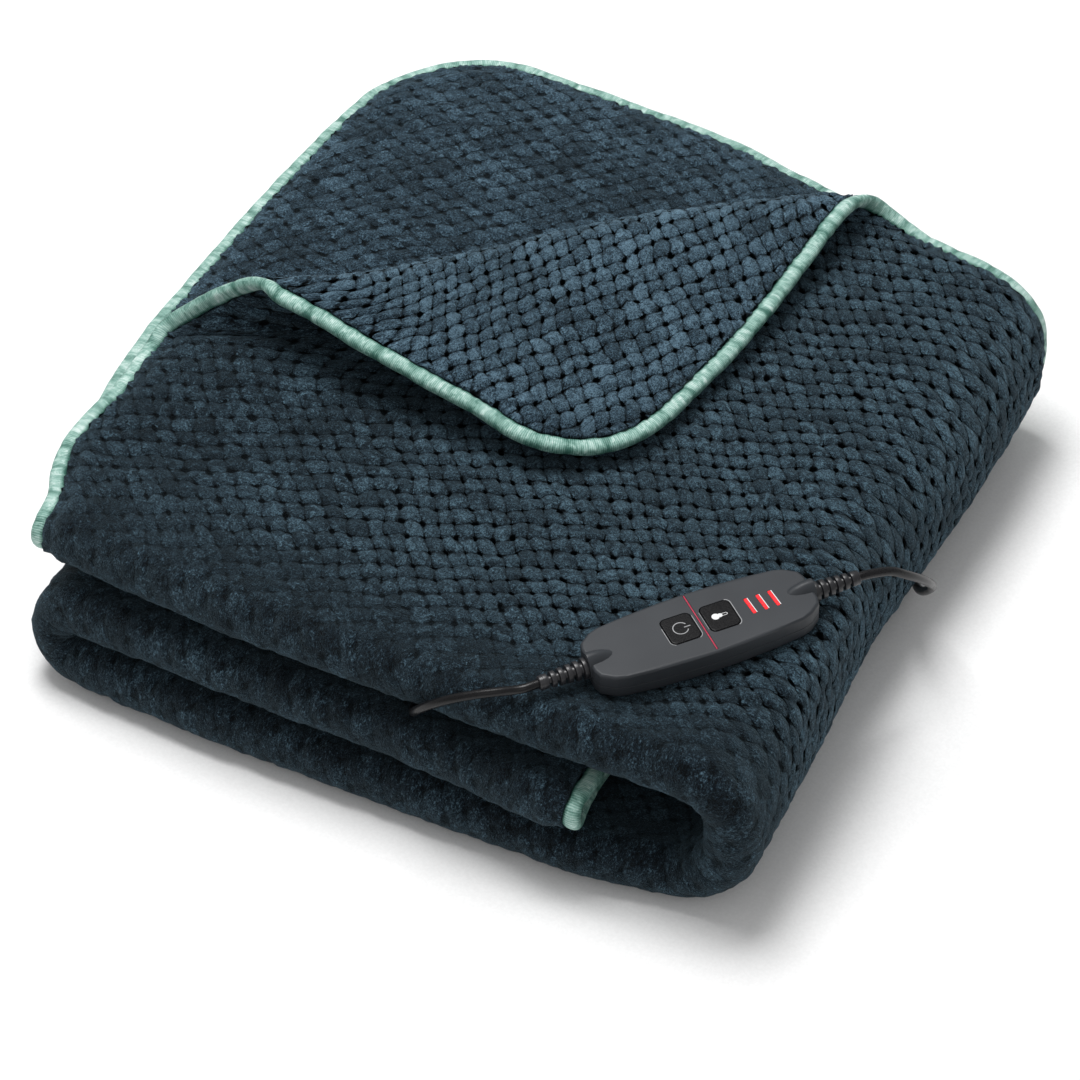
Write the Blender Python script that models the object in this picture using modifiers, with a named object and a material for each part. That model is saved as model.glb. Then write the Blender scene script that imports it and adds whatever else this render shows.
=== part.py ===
"""Electric heated blanket, folded and laid down, with its inline controller and lead.

Metres, +Z up, +X to the right and +Y to the back. The finished part's origin is the
middle of the folded pile, on the surface that it lies on. Everything is drawn from a
point near it, and moved there at the end.

The blanket is one flat cloth with rounded corners. It is folded in half with the fold
at the front, and that double cloth is rolled up in three runs: the top run, round the
right side to the lowest run, and round the left side to the middle run, which ends
inside the pile. The back left corner of the uppermost sheet is turned over.

Flat coordinates: u runs along the roll from the left end of the top run, v runs from
the front fold, positive on the outer sheet and negative on the inner one.
"""
import math

import bmesh
import bpy
import numpy as np
from mathutils import Matrix, Vector

MIDDLE = (-0.015, 0.032)     # the middle of the folded pile, as drawn

# ---- cloth and its runs
SHEET = 0.014            # thickness of the pile cloth
RIM = 0.4                # thickness at the bound rim, as a share of SHEET
HALF = 0.009             # from the middle of a double cloth to each of its sheets
Z_LOW = 0.016            # heights of the three runs, at the middle of the double cloth
Z_MID = 0.051
Z_TOP = 0.090
X_TOP = -0.214           # left end of the top run
X_RIGHT = 0.178          # where the right side turns down
X_LEFT = -0.190          # where the left side turns up
X_MID = 0.129            # right end of the middle run
Y_FRONT = -0.2115        # middle of the front fold
DEPTH = 0.475            # from the front fold to the back edge
CORNER = 0.064           # radius of the flat cloth's corners
SQUARENESS = 2.7         # how square the right side is, 2 is round

# ---- turned back corner
FOLD = 0.0185            # radius of the turned edge
TURNED_TO = (0.2985, 0.1706)   # where the cloth's corner comes to lie, flat coordinates
RESTS = 0.0025           # between the turned corner and the sheet below
# how high the turned edge stands, as a share of its round height: (place along it, share)
TURN_HEIGHT = ((-0.30, 1.18), (-0.20, 1.18), (-0.10, 1.12), (0.00, 0.80), (0.12, 0.77), (0.26, 0.77))
# how far the upper sheet's back edge is drawn in: (u, distance)
DRAWN_IN = ((0.0, 0.0293), (0.15, 0.0174), (0.31, 0.0137), (0.44, -0.0058))
LIFT = 0.012             # how far the upper sheet lifts at its left edge before it turns over
# over what length the turned corner comes down to rest: (place along the crease, length)
SETTLES = ((-0.30, 0.34), (-0.10, 0.30), (0.0, 0.20), (0.20, 0.10))

# ---- binding
BIND_OUT = 0.0045        # half of its width, in the cloth's plane
BIND_UP = 0.0043         # half of its thickness
BIND_CLEAR = 0.0012      # what its inner edge keeps from the rim of the cloth
GAP = 0.0003             # between pieces that touch
BIND_SIDES = 8

# ---- controller: a is along it, b across it, c up from its base
CTRL_AT = (0.158, -0.1365, 0.1063)
CTRL_TURN = math.radians(49.5)
CTRL_TILT = math.radians(1.4)
CTRL_HALF = 0.067
CTRL_WIDE = 0.0240       # half width in the middle
CTRL_HIGH = 0.0165
SEAM = 0.0080            # height of the joint between base and cover
# half of its outline: (a, half width)
CTRL_SIDE = ((-0.067, 0.0090), (-0.0655, 0.0135), (-0.0590, 0.0185), (-0.053, 0.0205),
             (-0.035, 0.0225), (-0.015, 0.0237), (0.0, 0.0240), (0.015, 0.0237),
             (0.035, 0.0225), (0.053, 0.0205), (0.0590, 0.0185), (0.0655, 0.0135),
             (0.067, 0.0090))
KEY_AT = (-0.0118, 0.0118)
KEY_SIZE = (0.0180, 0.0200)
KEY_HIGH = 0.0026
KEY_PROUD = 0.0004
KEY_TRAVEL = 0.0007
BAR_AT = (0.0300, 0.0372, 0.0444)
BAR_SIZE = (0.0017, 0.0118)
BAR_SLANT = math.radians(3.0)
INLAY_DEEP = 0.0010
INLAY_HIGH = 0.0008
LINE_SIZE = (0.0006, 0.0436)
HUMP = (0.0170, 0.0063, 0.0098)   # half sizes of the hump over each lead's exit

# ---- strain reliefs and leads
CORD = 0.0052            # diameter of the lead
RELIEF = 0.028
RELIEF_BIG = 0.0052      # radius at the controller
RELIEF_SMALL = 0.0038    # radius at its tip
RIBS = 5
RELIEF_UP = 0.0106       # height of its axis above the controller's base
COIL_AT = (0.030, 0.300)
COIL_MIDDLE = 0.0275     # radius at the middle of its turns
COIL_ACROSS = 3          # turns side by side
COIL_LAYERS = 3
PLUG_AT = (-0.062, 0.2900)
PLUG_HIGH = 0.0137
PLUG_BACK = 0.018        # from its middle to the end where the lead comes out
PIN_LONG = 0.019
PIN_APART = 0.0184


def smooth(low, high, x):
    t = np.clip((np.asarray(x, float) - low) / (high - low), 0.0, 1.0)
    return t * t * (3.0 - 2.0 * t)


def through(stops, x):
    """A smooth curve through (x, value) stops, without overshoot."""
    xs = np.array([s[0] for s in stops], float)
    ys = np.array([s[1] for s in stops], float)
    x = np.clip(np.asarray(x, float), xs[0], xs[-1])
    rise = np.diff(ys) / np.diff(xs)
    slope = np.zeros(len(xs))
    same = rise[:-1] * rise[1:] > 0
    slope[1:-1][same] = (2 * rise[:-1] * rise[1:])[same] / (rise[:-1] + rise[1:])[same]
    i = np.clip(np.searchsorted(xs, x, side="right") - 1, 0, len(xs) - 2)
    w = xs[i + 1] - xs[i]
    t = (x - xs[i]) / w
    return ((2 * t**3 - 3 * t**2 + 1) * ys[i] + (t**3 - 2 * t**2 + t) * w * slope[i]
            + (3 * t**2 - 2 * t**3) * ys[i + 1] + (t**3 - t**2) * w * slope[i + 1])


def roll_path():
    """The middle of the double cloth in the XZ plane, with its length and direction."""
    points = [(x, Z_TOP) for x in np.linspace(X_TOP, X_RIGHT, 160)[:-1]]
    radius = (Z_TOP - Z_LOW) / 2
    for angle in np.linspace(math.pi / 2, -math.pi / 2, 121)[:-1]:
        c, s = abs(math.cos(angle)), math.sin(angle)
        power = SQUARENESS if s > 0 else 2.0
        reach = radius * (c**power + abs(s) ** power) ** (-1 / power)
        points.append((X_RIGHT + reach * c, Z_LOW + radius + reach * s))
    points += [(x, Z_LOW) for x in np.linspace(X_RIGHT, X_LEFT, 150)[:-1]]
    radius = (Z_MID - Z_LOW) / 2
    for angle in np.linspace(math.pi / 2, 3 * math.pi / 2, 91)[:-1]:
        points.append((X_LEFT + radius * math.cos(angle), Z_LOW + radius - radius * math.sin(angle)))
    points += [(x, Z_MID) for x in np.linspace(X_LEFT, X_MID, 130)]
    points = np.array(points)
    length = np.concatenate([[0], np.cumsum(np.linalg.norm(np.diff(points, axis=0), axis=1))])
    return length, points, np.gradient(points, length, axis=0)


PATH_S, PATH_P, PATH_T = roll_path()
LONG = float(PATH_S[-1])             # length of the flat cloth along the roll
QUARTER = math.pi * HALF / 2         # half of the front fold's arc
WIDE = QUARTER + DEPTH               # half of the flat cloth's other side

U_RIGHT = X_RIGHT - X_TOP            # where the right side's turn starts and ends
U_LOW = float(PATH_S[279])
U_LEFT = float(PATH_S[428])          # where the left side's turn starts and ends
U_MID = float(PATH_S[518])

# where the back edge lies along the roll: (u, y)
BACK_EDGE = ((0.0, 0.302), (0.18, 0.292), (0.24, 0.279), (0.30, 0.262), (0.34, 0.246),
             (0.38, 0.230), (0.42, 0.214), (0.46, 0.205), (0.52, 0.200), (0.60, 0.205),
             (0.88, 0.235), (0.97, 0.235), (LONG, 0.215))
# how far the left end of each sheet of the top run reaches out: (y, distance)
INNER_REACH = ((-0.2, 0.002), (-0.1, 0.030), (0.0, 0.038), (0.1, 0.036), (0.2, 0.030), (0.3, 0.020))
OUTER_REACH = ((-0.2, 0.006), (-0.15, 0.018), (-0.1, 0.0114), (-0.05, 0.012), (0.0, -0.0397),
               (0.1, -0.040), (0.3, -0.0277))
# how far the lower runs come forward, and the top one stays back: (x, distance)
LOW_FORWARD = ((-0.23, 0.009), (-0.10, 0.016), (0.02, 0.0155), (0.12, 0.015), (0.20, 0.004))
TOP_BACK = ((-0.22, 0.010), (-0.14, 0.004), (-0.05, 0.0))
MID_FORWARD = ((-0.23, 0.0045), (-0.10, 0.008), (0.00, 0.010), (0.06, 0.013), (0.12, 0.018))
END_SLANT = -0.008       # how far its lower sheet reaches past its upper one, at the front
END_BACK = 0.001         # how far its front corner stays back
SIDE_IN = 0.008          # how far the right side is drawn in at its middle

# the crease: the cloth's corner is reflected in it, and its arc uses up some cloth
CORNER_FROM = np.array([0.0, WIDE])
TURN = np.array(TURNED_TO) - CORNER_FROM
TURN_LENGTH = float(np.linalg.norm(TURN))
ACROSS = TURN / TURN_LENGTH
ALONG = np.array([-ACROSS[1], ACROSS[0]])
CREASE = CORNER_FROM + ACROSS * (TURN_LENGTH + math.pi * FOLD) / 2


def controller_matrix():
    turn = Matrix.Rotation(CTRL_TURN, 4, "Z") @ Matrix.Rotation(-CTRL_TILT, 4, "Y")
    return Matrix.Translation(CTRL_AT) @ turn


def seat_for_controller(x, y, z, upper):
    """The uppermost sheet is pressed flat under the controller."""
    to_local = np.array(controller_matrix().inverted())
    a = to_local[0][0] * x + to_local[0][1] * y + to_local[0][2] * CTRL_AT[2] + to_local[0][3]
    b = to_local[1][0] * x + to_local[1][1] * y + to_local[1][2] * CTRL_AT[2] + to_local[1][3]
    outside = np.hypot(np.maximum(np.abs(a) - CTRL_HALF, 0), np.maximum(np.abs(b) - CTRL_WIDE, 0))
    press = (1 - smooth(0.010, 0.060, outside)) * upper
    seat = CTRL_AT[2] + a * math.sin(CTRL_TILT) - SHEET / 2 - 2 * GAP
    return z + press * (seat - z)


def laid(u, v):
    """Where a point of the flat cloth lies, before the corner is turned over."""
    px = np.interp(u, PATH_S, PATH_P[:, 0]) + np.minimum(u, 0) + np.maximum(u - LONG, 0)
    pz = np.interp(u, PATH_S, PATH_P[:, 1])
    tx = np.interp(u, PATH_S, PATH_T[:, 0])
    tz = np.interp(u, PATH_S, PATH_T[:, 1])
    norm = np.hypot(tx, tz)
    nx, nz = -tz / norm, tx / norm
    outer = v > 0
    far = np.abs(v)
    angle = np.clip(far / HALF, 0, math.pi / 2)
    in_fold = far < QUARTER
    back = through(BACK_EDGE, u)
    y = np.where(in_fold, Y_FRONT - HALF * np.cos(angle),
                 Y_FRONT + (far - QUARTER) * (back - Y_FRONT) / DEPTH)
    off = np.sign(v) * np.where(in_fold, HALF * np.sin(angle), HALF)
    x = px + nx * off
    z = pz + nz * off
    # the left end reaches out unevenly
    left = 1 - smooth(0.0, 0.20, u)
    x = x - left * (smooth(0.0, 0.10, -v) * through(INNER_REACH, y)
                    + smooth(0.0, 0.05, v) * through(OUTER_REACH, y))
    # the front line wanders
    near = 1 - smooth(-0.22, -0.05, y)
    below = smooth(U_RIGHT, U_LOW, u)
    inmost = smooth(U_LEFT, U_MID, u)
    y = y - near * (below * (1 - inmost) * through(LOW_FORWARD, x)
                    + inmost * through(MID_FORWARD, x) - (1 - below) * through(TOP_BACK, x))
    end = smooth(LONG - 0.10, LONG, u) * (1 - smooth(0.04, 0.16, far))
    x = x + end * (END_SLANT * smooth(0.0, 0.03, -v) - END_BACK)
    # the right side is drawn in at its middle
    x = x - SIDE_IN * np.exp(-((y + 0.03) / 0.09) ** 2) * smooth(0.05, 0.22, x)
    # the pile is lower toward its left, back and front edges
    sag = (1 - smooth(-0.25, -0.16, x)) * (0.015 + 0.045 * smooth(-0.20, -0.08, y))
    sag = sag + smooth(0.22, 0.30, y) * 0.05
    z = SHEET / 2 + (z - SHEET / 2) * (1 - sag)
    on_top = outer * (1 - smooth(U_RIGHT + 0.03, U_RIGHT + 0.07, u))
    on_top = on_top * smooth(QUARTER * 0.6, QUARTER + 0.02, v)
    z = seat_for_controller(x, y, z, on_top)
    return np.stack([x, y, z], -1)


def place(u, v):
    """Where a point of the flat cloth lies, with the corner turned over."""
    u = np.asarray(u, float)
    v = np.asarray(v, float)
    v = np.where(v > 0, v * (1 - through(DRAWN_IN, u) / WIDE), v)
    past = -((u - CREASE[0]) * ACROSS[0] + (v - CREASE[1]) * ACROSS[1])
    along = (u - CREASE[0]) * ALONG[0] + (v - CREASE[1]) * ALONG[1]
    turned = (past > 0) & (v > 0) & (u < U_RIGHT + 0.02)
    arc = math.pi * FOLD
    angle = np.clip(past / FOLD, 0, math.pi)
    beyond = np.maximum(past - arc, 0)
    in_arc = past < arc
    plan = np.where(in_arc, FOLD * np.sin(angle), -beyond)
    low = through(TURN_HEIGHT, along)
    # the left of the turned corner stays up, the right of it lies down
    up = 1 - smooth(0, 1, beyond / through(SETTLES, along))
    rest = SHEET + RESTS
    settle = rest + (2 * FOLD * low - rest) * up
    height = np.where(in_arc, low * FOLD * (1 - np.cos(angle)), settle)
    at_u = np.where(turned, u + ACROSS[0] * (past - plan), u)
    at_v = np.where(turned, v + ACROSS[1] * (past - plan), v)
    where = laid(at_u, at_v)
    lifted = smooth(-0.10, 0, past) * up * (1 - smooth(-0.20, -0.08, along)) * smooth(0.0, 0.1, v)
    where[..., 2] += np.where(turned, height, 0) + LIFT * lifted
    return where


def round_corner(u, v):
    """The square corners of the grid drawn in to the cloth's round ones."""
    from_end = np.where(u < LONG / 2, u, LONG - u)
    from_side = WIDE - np.abs(v)
    p = np.clip(1 - from_end / CORNER, 0, 1)
    q = np.clip(1 - from_side / CORNER, 0, 1)
    inside = (p > 0) & (q > 0)
    from_end = np.where(inside, CORNER * (1 - p * np.sqrt(1 - q * q / 2)), from_end)
    from_side = np.where(inside, CORNER * (1 - q * np.sqrt(1 - p * p / 2)), from_side)
    return np.where(u < LONG / 2, from_end, LONG - from_end), np.sign(v) * (WIDE - from_side)


def stations(stops):
    """Grid lines: each (start, end, cells) row is split evenly."""
    lines = [stops[0][0]]
    for start, end, cells in stops:
        lines += list(np.linspace(start, end, cells + 1)[1:])
    return np.array(lines)


# ---- materials and collections
def material(name, colour, roughness, metallic=0.0):
    made = bpy.data.materials.new(name)
    made.use_nodes = True
    shader = made.node_tree.nodes["Principled BSDF"]
    shader.inputs["Base Color"].default_value = (*colour, 1.0)
    shader.inputs["Roughness"].default_value = roughness
    shader.inputs["Metallic"].default_value = metallic
    return made


def collection(name):
    made = bpy.data.collections.new(name)
    bpy.context.scene.collection.children.link(made)
    return made


def add(name, mesh, group, finish=None):
    made = bpy.data.objects.new(name, mesh)
    group.objects.link(made)
    if finish:
        mesh.materials.append(finish)
    return made


def from_bmesh(name, bm, group, finish=None):
    mesh = bpy.data.meshes.new(name)
    bm.to_mesh(mesh)
    bm.free()
    return add(name, mesh, group, finish)


# ---- blanket
def flat_cloth():
    """The flat cloth as a grid, with lines along the crease and round corners."""
    rim = 0.008
    us = stations(((0, rim, 1), (rim, CORNER, 3), (CORNER, U_RIGHT, 11), (U_RIGHT, U_LOW, 11),
                   (U_LOW, U_LEFT, 8), (U_LEFT, U_MID, 8), (U_MID, LONG - CORNER, 6),
                   (LONG - CORNER, LONG - rim, 3), (LONG - rim, LONG, 1)))
    half = stations(((0, QUARTER, 4), (QUARTER, QUARTER + 0.05, 2), (QUARTER + 0.05, WIDE - CORNER, 9),
                     (WIDE - CORNER, WIDE - rim, 3), (WIDE - rim, WIDE, 1)))
    vs = np.concatenate([-half[:0:-1], half])
    bm = bmesh.new()
    bmesh.ops.create_grid(bm, x_segments=len(us) - 1, y_segments=len(vs) - 1, size=1.0)
    for vert in bm.verts:
        i = round((vert.co.x + 1) / 2 * (len(us) - 1))
        j = round((vert.co.y + 1) / 2 * (len(vs) - 1))
        u, v = round_corner(us[i], vs[j])
        vert.co = (float(u), float(v), 0)
    # lines along the crease, on the outer sheet's turned corner only
    arc = math.pi * FOLD
    for line in range(9):
        at = CREASE - ACROSS * arc * line / 8
        faces = [f for f in bm.faces
                 if f.calc_center_median().y > 0 and f.calc_center_median().x < U_RIGHT]
        edges = {e for f in faces for e in f.edges}
        verts = {v for f in faces for v in f.verts}
        bmesh.ops.bisect_plane(bm, geom=faces + list(edges) + list(verts), dist=1e-6,
                               plane_co=(at[0], at[1], 0), plane_no=(ACROSS[0], ACROSS[1], 0))
    bmesh.ops.remove_doubles(bm, verts=bm.verts, dist=0.003)
    return bm


def rim_loop(bm):
    """The outline of the flat cloth in order, each point with its direction outward."""
    edges = [e for e in bm.edges if e.is_boundary]
    start = min((v for e in edges for v in e.verts), key=lambda v: (round(v.co.x, 6), abs(v.co.y)))
    loop, last, now = [start], None, start
    while True:
        near = [e for e in now.link_edges if e.is_boundary and e is not last]
        last = near[0]
        now = last.other_vert(now)
        if now is start:
            break
        loop.append(now)
    points = np.array([(v.co.x, v.co.y) for v in loop])
    ahead = np.roll(points, -1, 0) - points
    ahead /= np.linalg.norm(ahead, axis=1)[:, None]
    tangent = ahead + np.roll(ahead, 1, 0)
    tangent /= np.linalg.norm(tangent, axis=1)[:, None]
    outward = np.stack([tangent[:, 1], -tangent[:, 0]], -1)
    middle = np.array([LONG / 2, 0])
    if np.sum((points - middle) * outward) < 0:
        outward = -outward
    return points, outward


def blanket(group, finish):
    bm = flat_cloth()
    points, outward = rim_loop(bm)
    flat = np.array([(v.co.x, v.co.y) for v in bm.verts])
    where = place(flat[:, 0], flat[:, 1])
    on_rim = [v.is_boundary for v in bm.verts]
    for vert, spot in zip(bm.verts, where):
        vert.co = spot
    cloth = from_bmesh("blanket_cloth", bm, group, finish)
    thick = cloth.vertex_groups.new(name="thick")
    for i, edge_point in enumerate(on_rim):
        thick.add([i], 0.0 if edge_point else 1.0, "REPLACE")
    solid = cloth.modifiers.new("thickness", "SOLIDIFY")
    solid.thickness = SHEET
    solid.offset = 0.0
    solid.vertex_group = "thick"
    solid.thickness_vertex_group = RIM
    cloth.data.shade_smooth()
    return points, outward


def binding(points, outward, group, finish):
    """The tape round the rim, one closed bar that follows every fold."""
    at_rim = place(points[:, 0], points[:, 1])
    probe = points + outward * 0.002
    out = place(probe[:, 0], probe[:, 1]) - at_rim
    tangent = np.roll(at_rim, -1, 0) - np.roll(at_rim, 1, 0)
    tangent /= np.linalg.norm(tangent, axis=1)[:, None]
    out -= tangent * np.sum(out * tangent, axis=1)[:, None]
    out /= np.linalg.norm(out, axis=1)[:, None]
    up = np.cross(out, tangent)
    centre = at_rim + out * (BIND_OUT + BIND_CLEAR)
    bpy.ops.mesh.primitive_torus_add(major_segments=len(points), minor_segments=BIND_SIDES,
                                     major_radius=1.0, minor_radius=0.1)
    made = bpy.context.object
    made.name = made.data.name = "edge_binding"
    for other in list(made.users_collection):
        other.objects.unlink(made)
    group.objects.link(made)
    made.data.materials.append(finish)
    for i, vert in enumerate(made.data.vertices):
        ring, side = divmod(i, BIND_SIDES)
        angle = 2 * math.pi * side / BIND_SIDES
        vert.co = (centre[ring] + out[ring] * BIND_OUT * math.cos(angle)
                   + up[ring] * BIND_UP * math.sin(angle))
    bm = bmesh.new()
    bm.from_mesh(made.data)
    bmesh.ops.recalc_face_normals(bm, faces=bm.faces)
    bm.to_mesh(made.data)
    bm.free()
    made.data.shade_smooth()


# ---- controller
def outline_points():
    """The controller's outline from above: bowed long sides and drawn-in ends."""
    return list(CTRL_SIDE) + [(a, -b) for a, b in reversed(CTRL_SIDE)]


def slab(points, low, high):
    """A closed slab of an outline, as a bmesh, from a filled flat curve."""
    curve = bpy.data.curves.new("outline", "CURVE")
    curve.dimensions = "2D"
    curve.fill_mode = "BOTH"
    curve.extrude = (high - low) / 2
    spline = curve.splines.new("POLY")
    spline.points.add(len(points) - 1)
    for point, (a, b) in zip(spline.points, points):
        point.co = (a, b, 0, 1)
    spline.use_cyclic_u = True
    holder = bpy.data.objects.new("outline", curve)
    bpy.context.scene.collection.objects.link(holder)
    mesh = bpy.data.meshes.new_from_object(holder.evaluated_get(bpy.context.evaluated_depsgraph_get()))
    bpy.data.objects.remove(holder)
    bm = bmesh.new()
    bm.from_mesh(mesh)
    bpy.data.meshes.remove(mesh)
    bmesh.ops.remove_doubles(bm, verts=bm.verts, dist=1e-6)
    bmesh.ops.translate(bm, verts=bm.verts, vec=(0, 0, (low + high) / 2))
    bmesh.ops.dissolve_limit(bm, angle_limit=0.01, verts=bm.verts, edges=bm.edges)
    bmesh.ops.recalc_face_normals(bm, faces=bm.faces)
    return bm


def bevel_at(bm, height, width, segments):
    edges = [e for e in bm.edges if all(abs(v.co.z - height) < 1e-6 for v in e.verts)]
    bmesh.ops.bevel(bm, geom=edges, offset=width, segments=segments, profile=0.5, affect="EDGES")


def rounded_box(a_size, b_size, radius, steps=4):
    points = []
    for turn, (ca, cb) in enumerate(((1, 1), (-1, 1), (-1, -1), (1, -1))):
        for k in range(steps + 1):
            angle = math.pi / 2 * (turn + k / steps)
            points.append((ca * (a_size / 2 - radius) + radius * math.cos(angle),
                           cb * (b_size / 2 - radius) + radius * math.sin(angle)))
    return points


def cutter(name, bm, group, matrix):
    made = from_bmesh(name, bm, group)
    made.matrix_world = matrix
    made.hide_render = True
    made.display_type = "WIRE"
    return made


def cut(body, tool, operation="DIFFERENCE"):
    step = body.modifiers.new(tool.name, "BOOLEAN")
    step.object = tool
    step.operation = operation
    step.solver = "EXACT"


def inlay(name, outline_of, slant, a, cover, group, cutters, place_at, finish):
    """A lens let into the cover, with its own slot round it."""
    turn = place_at @ Matrix.Translation((a, 0, 0)) @ Matrix.Rotation(slant, 4, "Z")
    slot = slab(outline_of(GAP), CTRL_HIGH - INLAY_DEEP, CTRL_HIGH + 0.002)
    cut(cover, cutter(name + "_slot", slot, cutters, turn))
    low = CTRL_HIGH - INLAY_DEEP + GAP
    lens = from_bmesh(name, slab(outline_of(0.0), low, low + INLAY_HIGH), group, finish)
    lens.matrix_world = turn


def bar_outline(grow):
    return rounded_box(BAR_SIZE[0] + 2 * grow, BAR_SIZE[1] + 2 * grow, 0.0004 + grow, 2)


def line_outline(grow):
    half_a, half_b = LINE_SIZE[0] / 2 + grow, LINE_SIZE[1] / 2 + grow
    return [(-half_a, -half_b), (half_a, -half_b), (half_a, half_b), (-half_a, half_b)]


def controller(parts, cutters, mats):
    place_at = controller_matrix()
    base = slab(outline_points(), 0.0, SEAM)
    bevel_at(base, 0.0, 0.0030, 3)
    bottom = from_bmesh("controller_base", base, parts, mats["housing"])
    bottom.matrix_world = place_at
    top = slab(outline_points(), SEAM + GAP, CTRL_HIGH)
    bevel_at(top, CTRL_HIGH, 0.0018, 3)
    cover = from_bmesh("controller_cover", top, parts, mats["housing"])
    cover.matrix_world = place_at
    for side, name in ((-1, "left"), (1, "right")):
        hump = bmesh.new()
        bmesh.ops.create_uvsphere(hump, u_segments=16, v_segments=10, radius=1.0)
        bmesh.ops.scale(hump, verts=hump.verts, vec=HUMP)
        bmesh.ops.translate(hump, verts=hump.verts, vec=(side * (CTRL_HALF - 0.001), 0, RELIEF_UP))
        for at, normal in (((side * (CTRL_HALF + 0.001), 0, 0), (side, 0, 0)),
                           ((0, 0, SEAM + GAP), (0, 0, -1))):
            made = bmesh.ops.bisect_plane(hump, geom=hump.verts[:] + hump.edges[:] + hump.faces[:],
                                          plane_co=at, plane_no=normal, clear_outer=True, dist=1e-7)
            rim = [e for e in made["geom_cut"] if isinstance(e, bmesh.types.BMEdge)]
            bmesh.ops.contextual_create(hump, geom=rim)
        bmesh.ops.recalc_face_normals(hump, faces=hump.faces)
        cut(cover, cutter("hump_" + name, hump, cutters, place_at), "UNION")
    for a, name in zip(KEY_AT, ("key_power", "key_heat")):
        low = CTRL_HIGH + KEY_PROUD - KEY_HIGH
        well = slab(rounded_box(KEY_SIZE[0] + 2 * GAP, KEY_SIZE[1] + 2 * GAP, 0.0035),
                    low - KEY_TRAVEL - 0.0002, CTRL_HIGH + 0.002)
        cut(cover, cutter(name + "_well", well, cutters, place_at @ Matrix.Translation((a, 0, 0))))
        pad = slab(rounded_box(KEY_SIZE[0], KEY_SIZE[1], 0.0032), 0.0, KEY_HIGH)
        bevel_at(pad, KEY_HIGH, 0.0005, 1)
        key = from_bmesh(name, pad, parts, mats["key"])
        key.matrix_world = place_at @ Matrix.Translation((a, 0, low))
    for number, a in enumerate(BAR_AT):
        inlay("indicator_%d" % (number + 1), bar_outline, BAR_SLANT, a,
              cover, parts, cutters, place_at, mats["red"])
    inlay("divider_line", line_outline, 0.0, 0.0, cover, parts, cutters, place_at, mats["red"])


def relief(name, side, group, finish):
    """A ribbed strain relief, turned about the lead's axis."""
    start = CTRL_HALF + 0.001 + GAP
    profile = [(0.0, 0.0)]
    step = RELIEF / (RIBS + 0.5)
    for k in range(RIBS):
        s = k * step
        big = RELIEF_BIG + (RELIEF_SMALL - RELIEF_BIG) * s / RELIEF
        profile += [(s, big), (s + step * 0.55, big), (s + step * 0.62, big - 0.0012),
                    (s + step * 0.93, big - 0.0012)]
    profile += [(RELIEF - 0.003, RELIEF_SMALL), (RELIEF - 0.0005, RELIEF_SMALL - 0.0002),
                (RELIEF, RELIEF_SMALL - 0.0007), (RELIEF, 0.0)]
    mesh = bpy.data.meshes.new(name)
    mesh.from_pydata([(r, 0, s) for s, r in profile], [(i, i + 1) for i in range(len(profile) - 1)], [])
    made = add(name, mesh, group)
    turned = made.modifiers.new("turned", "SCREW")
    turned.axis = "Z"
    turned.steps = turned.render_steps = 14
    turned.use_merge_vertices = True
    turned.merge_threshold = 0.0001
    turned.use_normal_flip = True
    mesh.materials.append(finish)
    along = Matrix.Rotation(side * math.pi / 2, 4, "Y")
    made.matrix_world = controller_matrix() @ Matrix.Translation((side * start, 0, RELIEF_UP)) @ along


def tip(side, beyond=0.0):
    """The lead's own start: the end of a strain relief, or a point straight past it."""
    reach = CTRL_HALF + 0.001 + GAP + RELIEF + GAP + beyond
    return controller_matrix() @ Vector((side * reach, 0, RELIEF_UP))


def smooth_route(points, spacing):
    """Points at an even spacing on one smooth curve through the route's own points."""
    points = np.array([tuple(p) for p in points], float)
    ends = np.vstack([2 * points[0] - points[1], points, 2 * points[-1] - points[-2]])
    knots = np.concatenate([[0], np.cumsum(np.linalg.norm(np.diff(ends, axis=0), axis=1) ** 0.5)])
    fine = []
    for k in range(1, len(ends) - 2):
        p0, p1, p2, p3 = ends[k - 1:k + 3]
        t0, t1, t2, t3 = knots[k - 1:k + 3]
        for t in np.linspace(t1, t2, 24, endpoint=False):
            a1 = (t1 - t) / (t1 - t0) * p0 + (t - t0) / (t1 - t0) * p1
            a2 = (t2 - t) / (t2 - t1) * p1 + (t - t1) / (t2 - t1) * p2
            a3 = (t3 - t) / (t3 - t2) * p2 + (t - t2) / (t3 - t2) * p3
            b1 = (t2 - t) / (t2 - t0) * a1 + (t - t0) / (t2 - t0) * a2
            b2 = (t3 - t) / (t3 - t1) * a2 + (t - t1) / (t3 - t1) * a3
            fine.append((t2 - t) / (t2 - t1) * b1 + (t - t1) / (t2 - t1) * b2)
    fine.append(points[-1])
    fine = np.array(fine)
    length = np.concatenate([[0], np.cumsum(np.linalg.norm(np.diff(fine, axis=0), axis=1))])
    count = max(2, round(length[-1] / spacing))
    at = np.linspace(0, length[-1], count + 1)
    return [tuple(np.interp(at, length, fine[:, k])[i] for k in range(3)) for i in range(count + 1)]


def tube(name, points, group, finish):
    curve = bpy.data.curves.new(name, "CURVE")
    curve.dimensions = "3D"
    curve.bevel_depth = CORD / 2
    curve.bevel_resolution = 2
    curve.use_fill_caps = True
    spline = curve.splines.new("POLY")
    spline.points.add(len(points) - 1)
    for point, spot in zip(spline.points, points):
        point.co = (*spot, 1)
    curve.materials.append(finish)
    made = bpy.data.objects.new(name, curve)
    group.objects.link(made)
    return made


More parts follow.
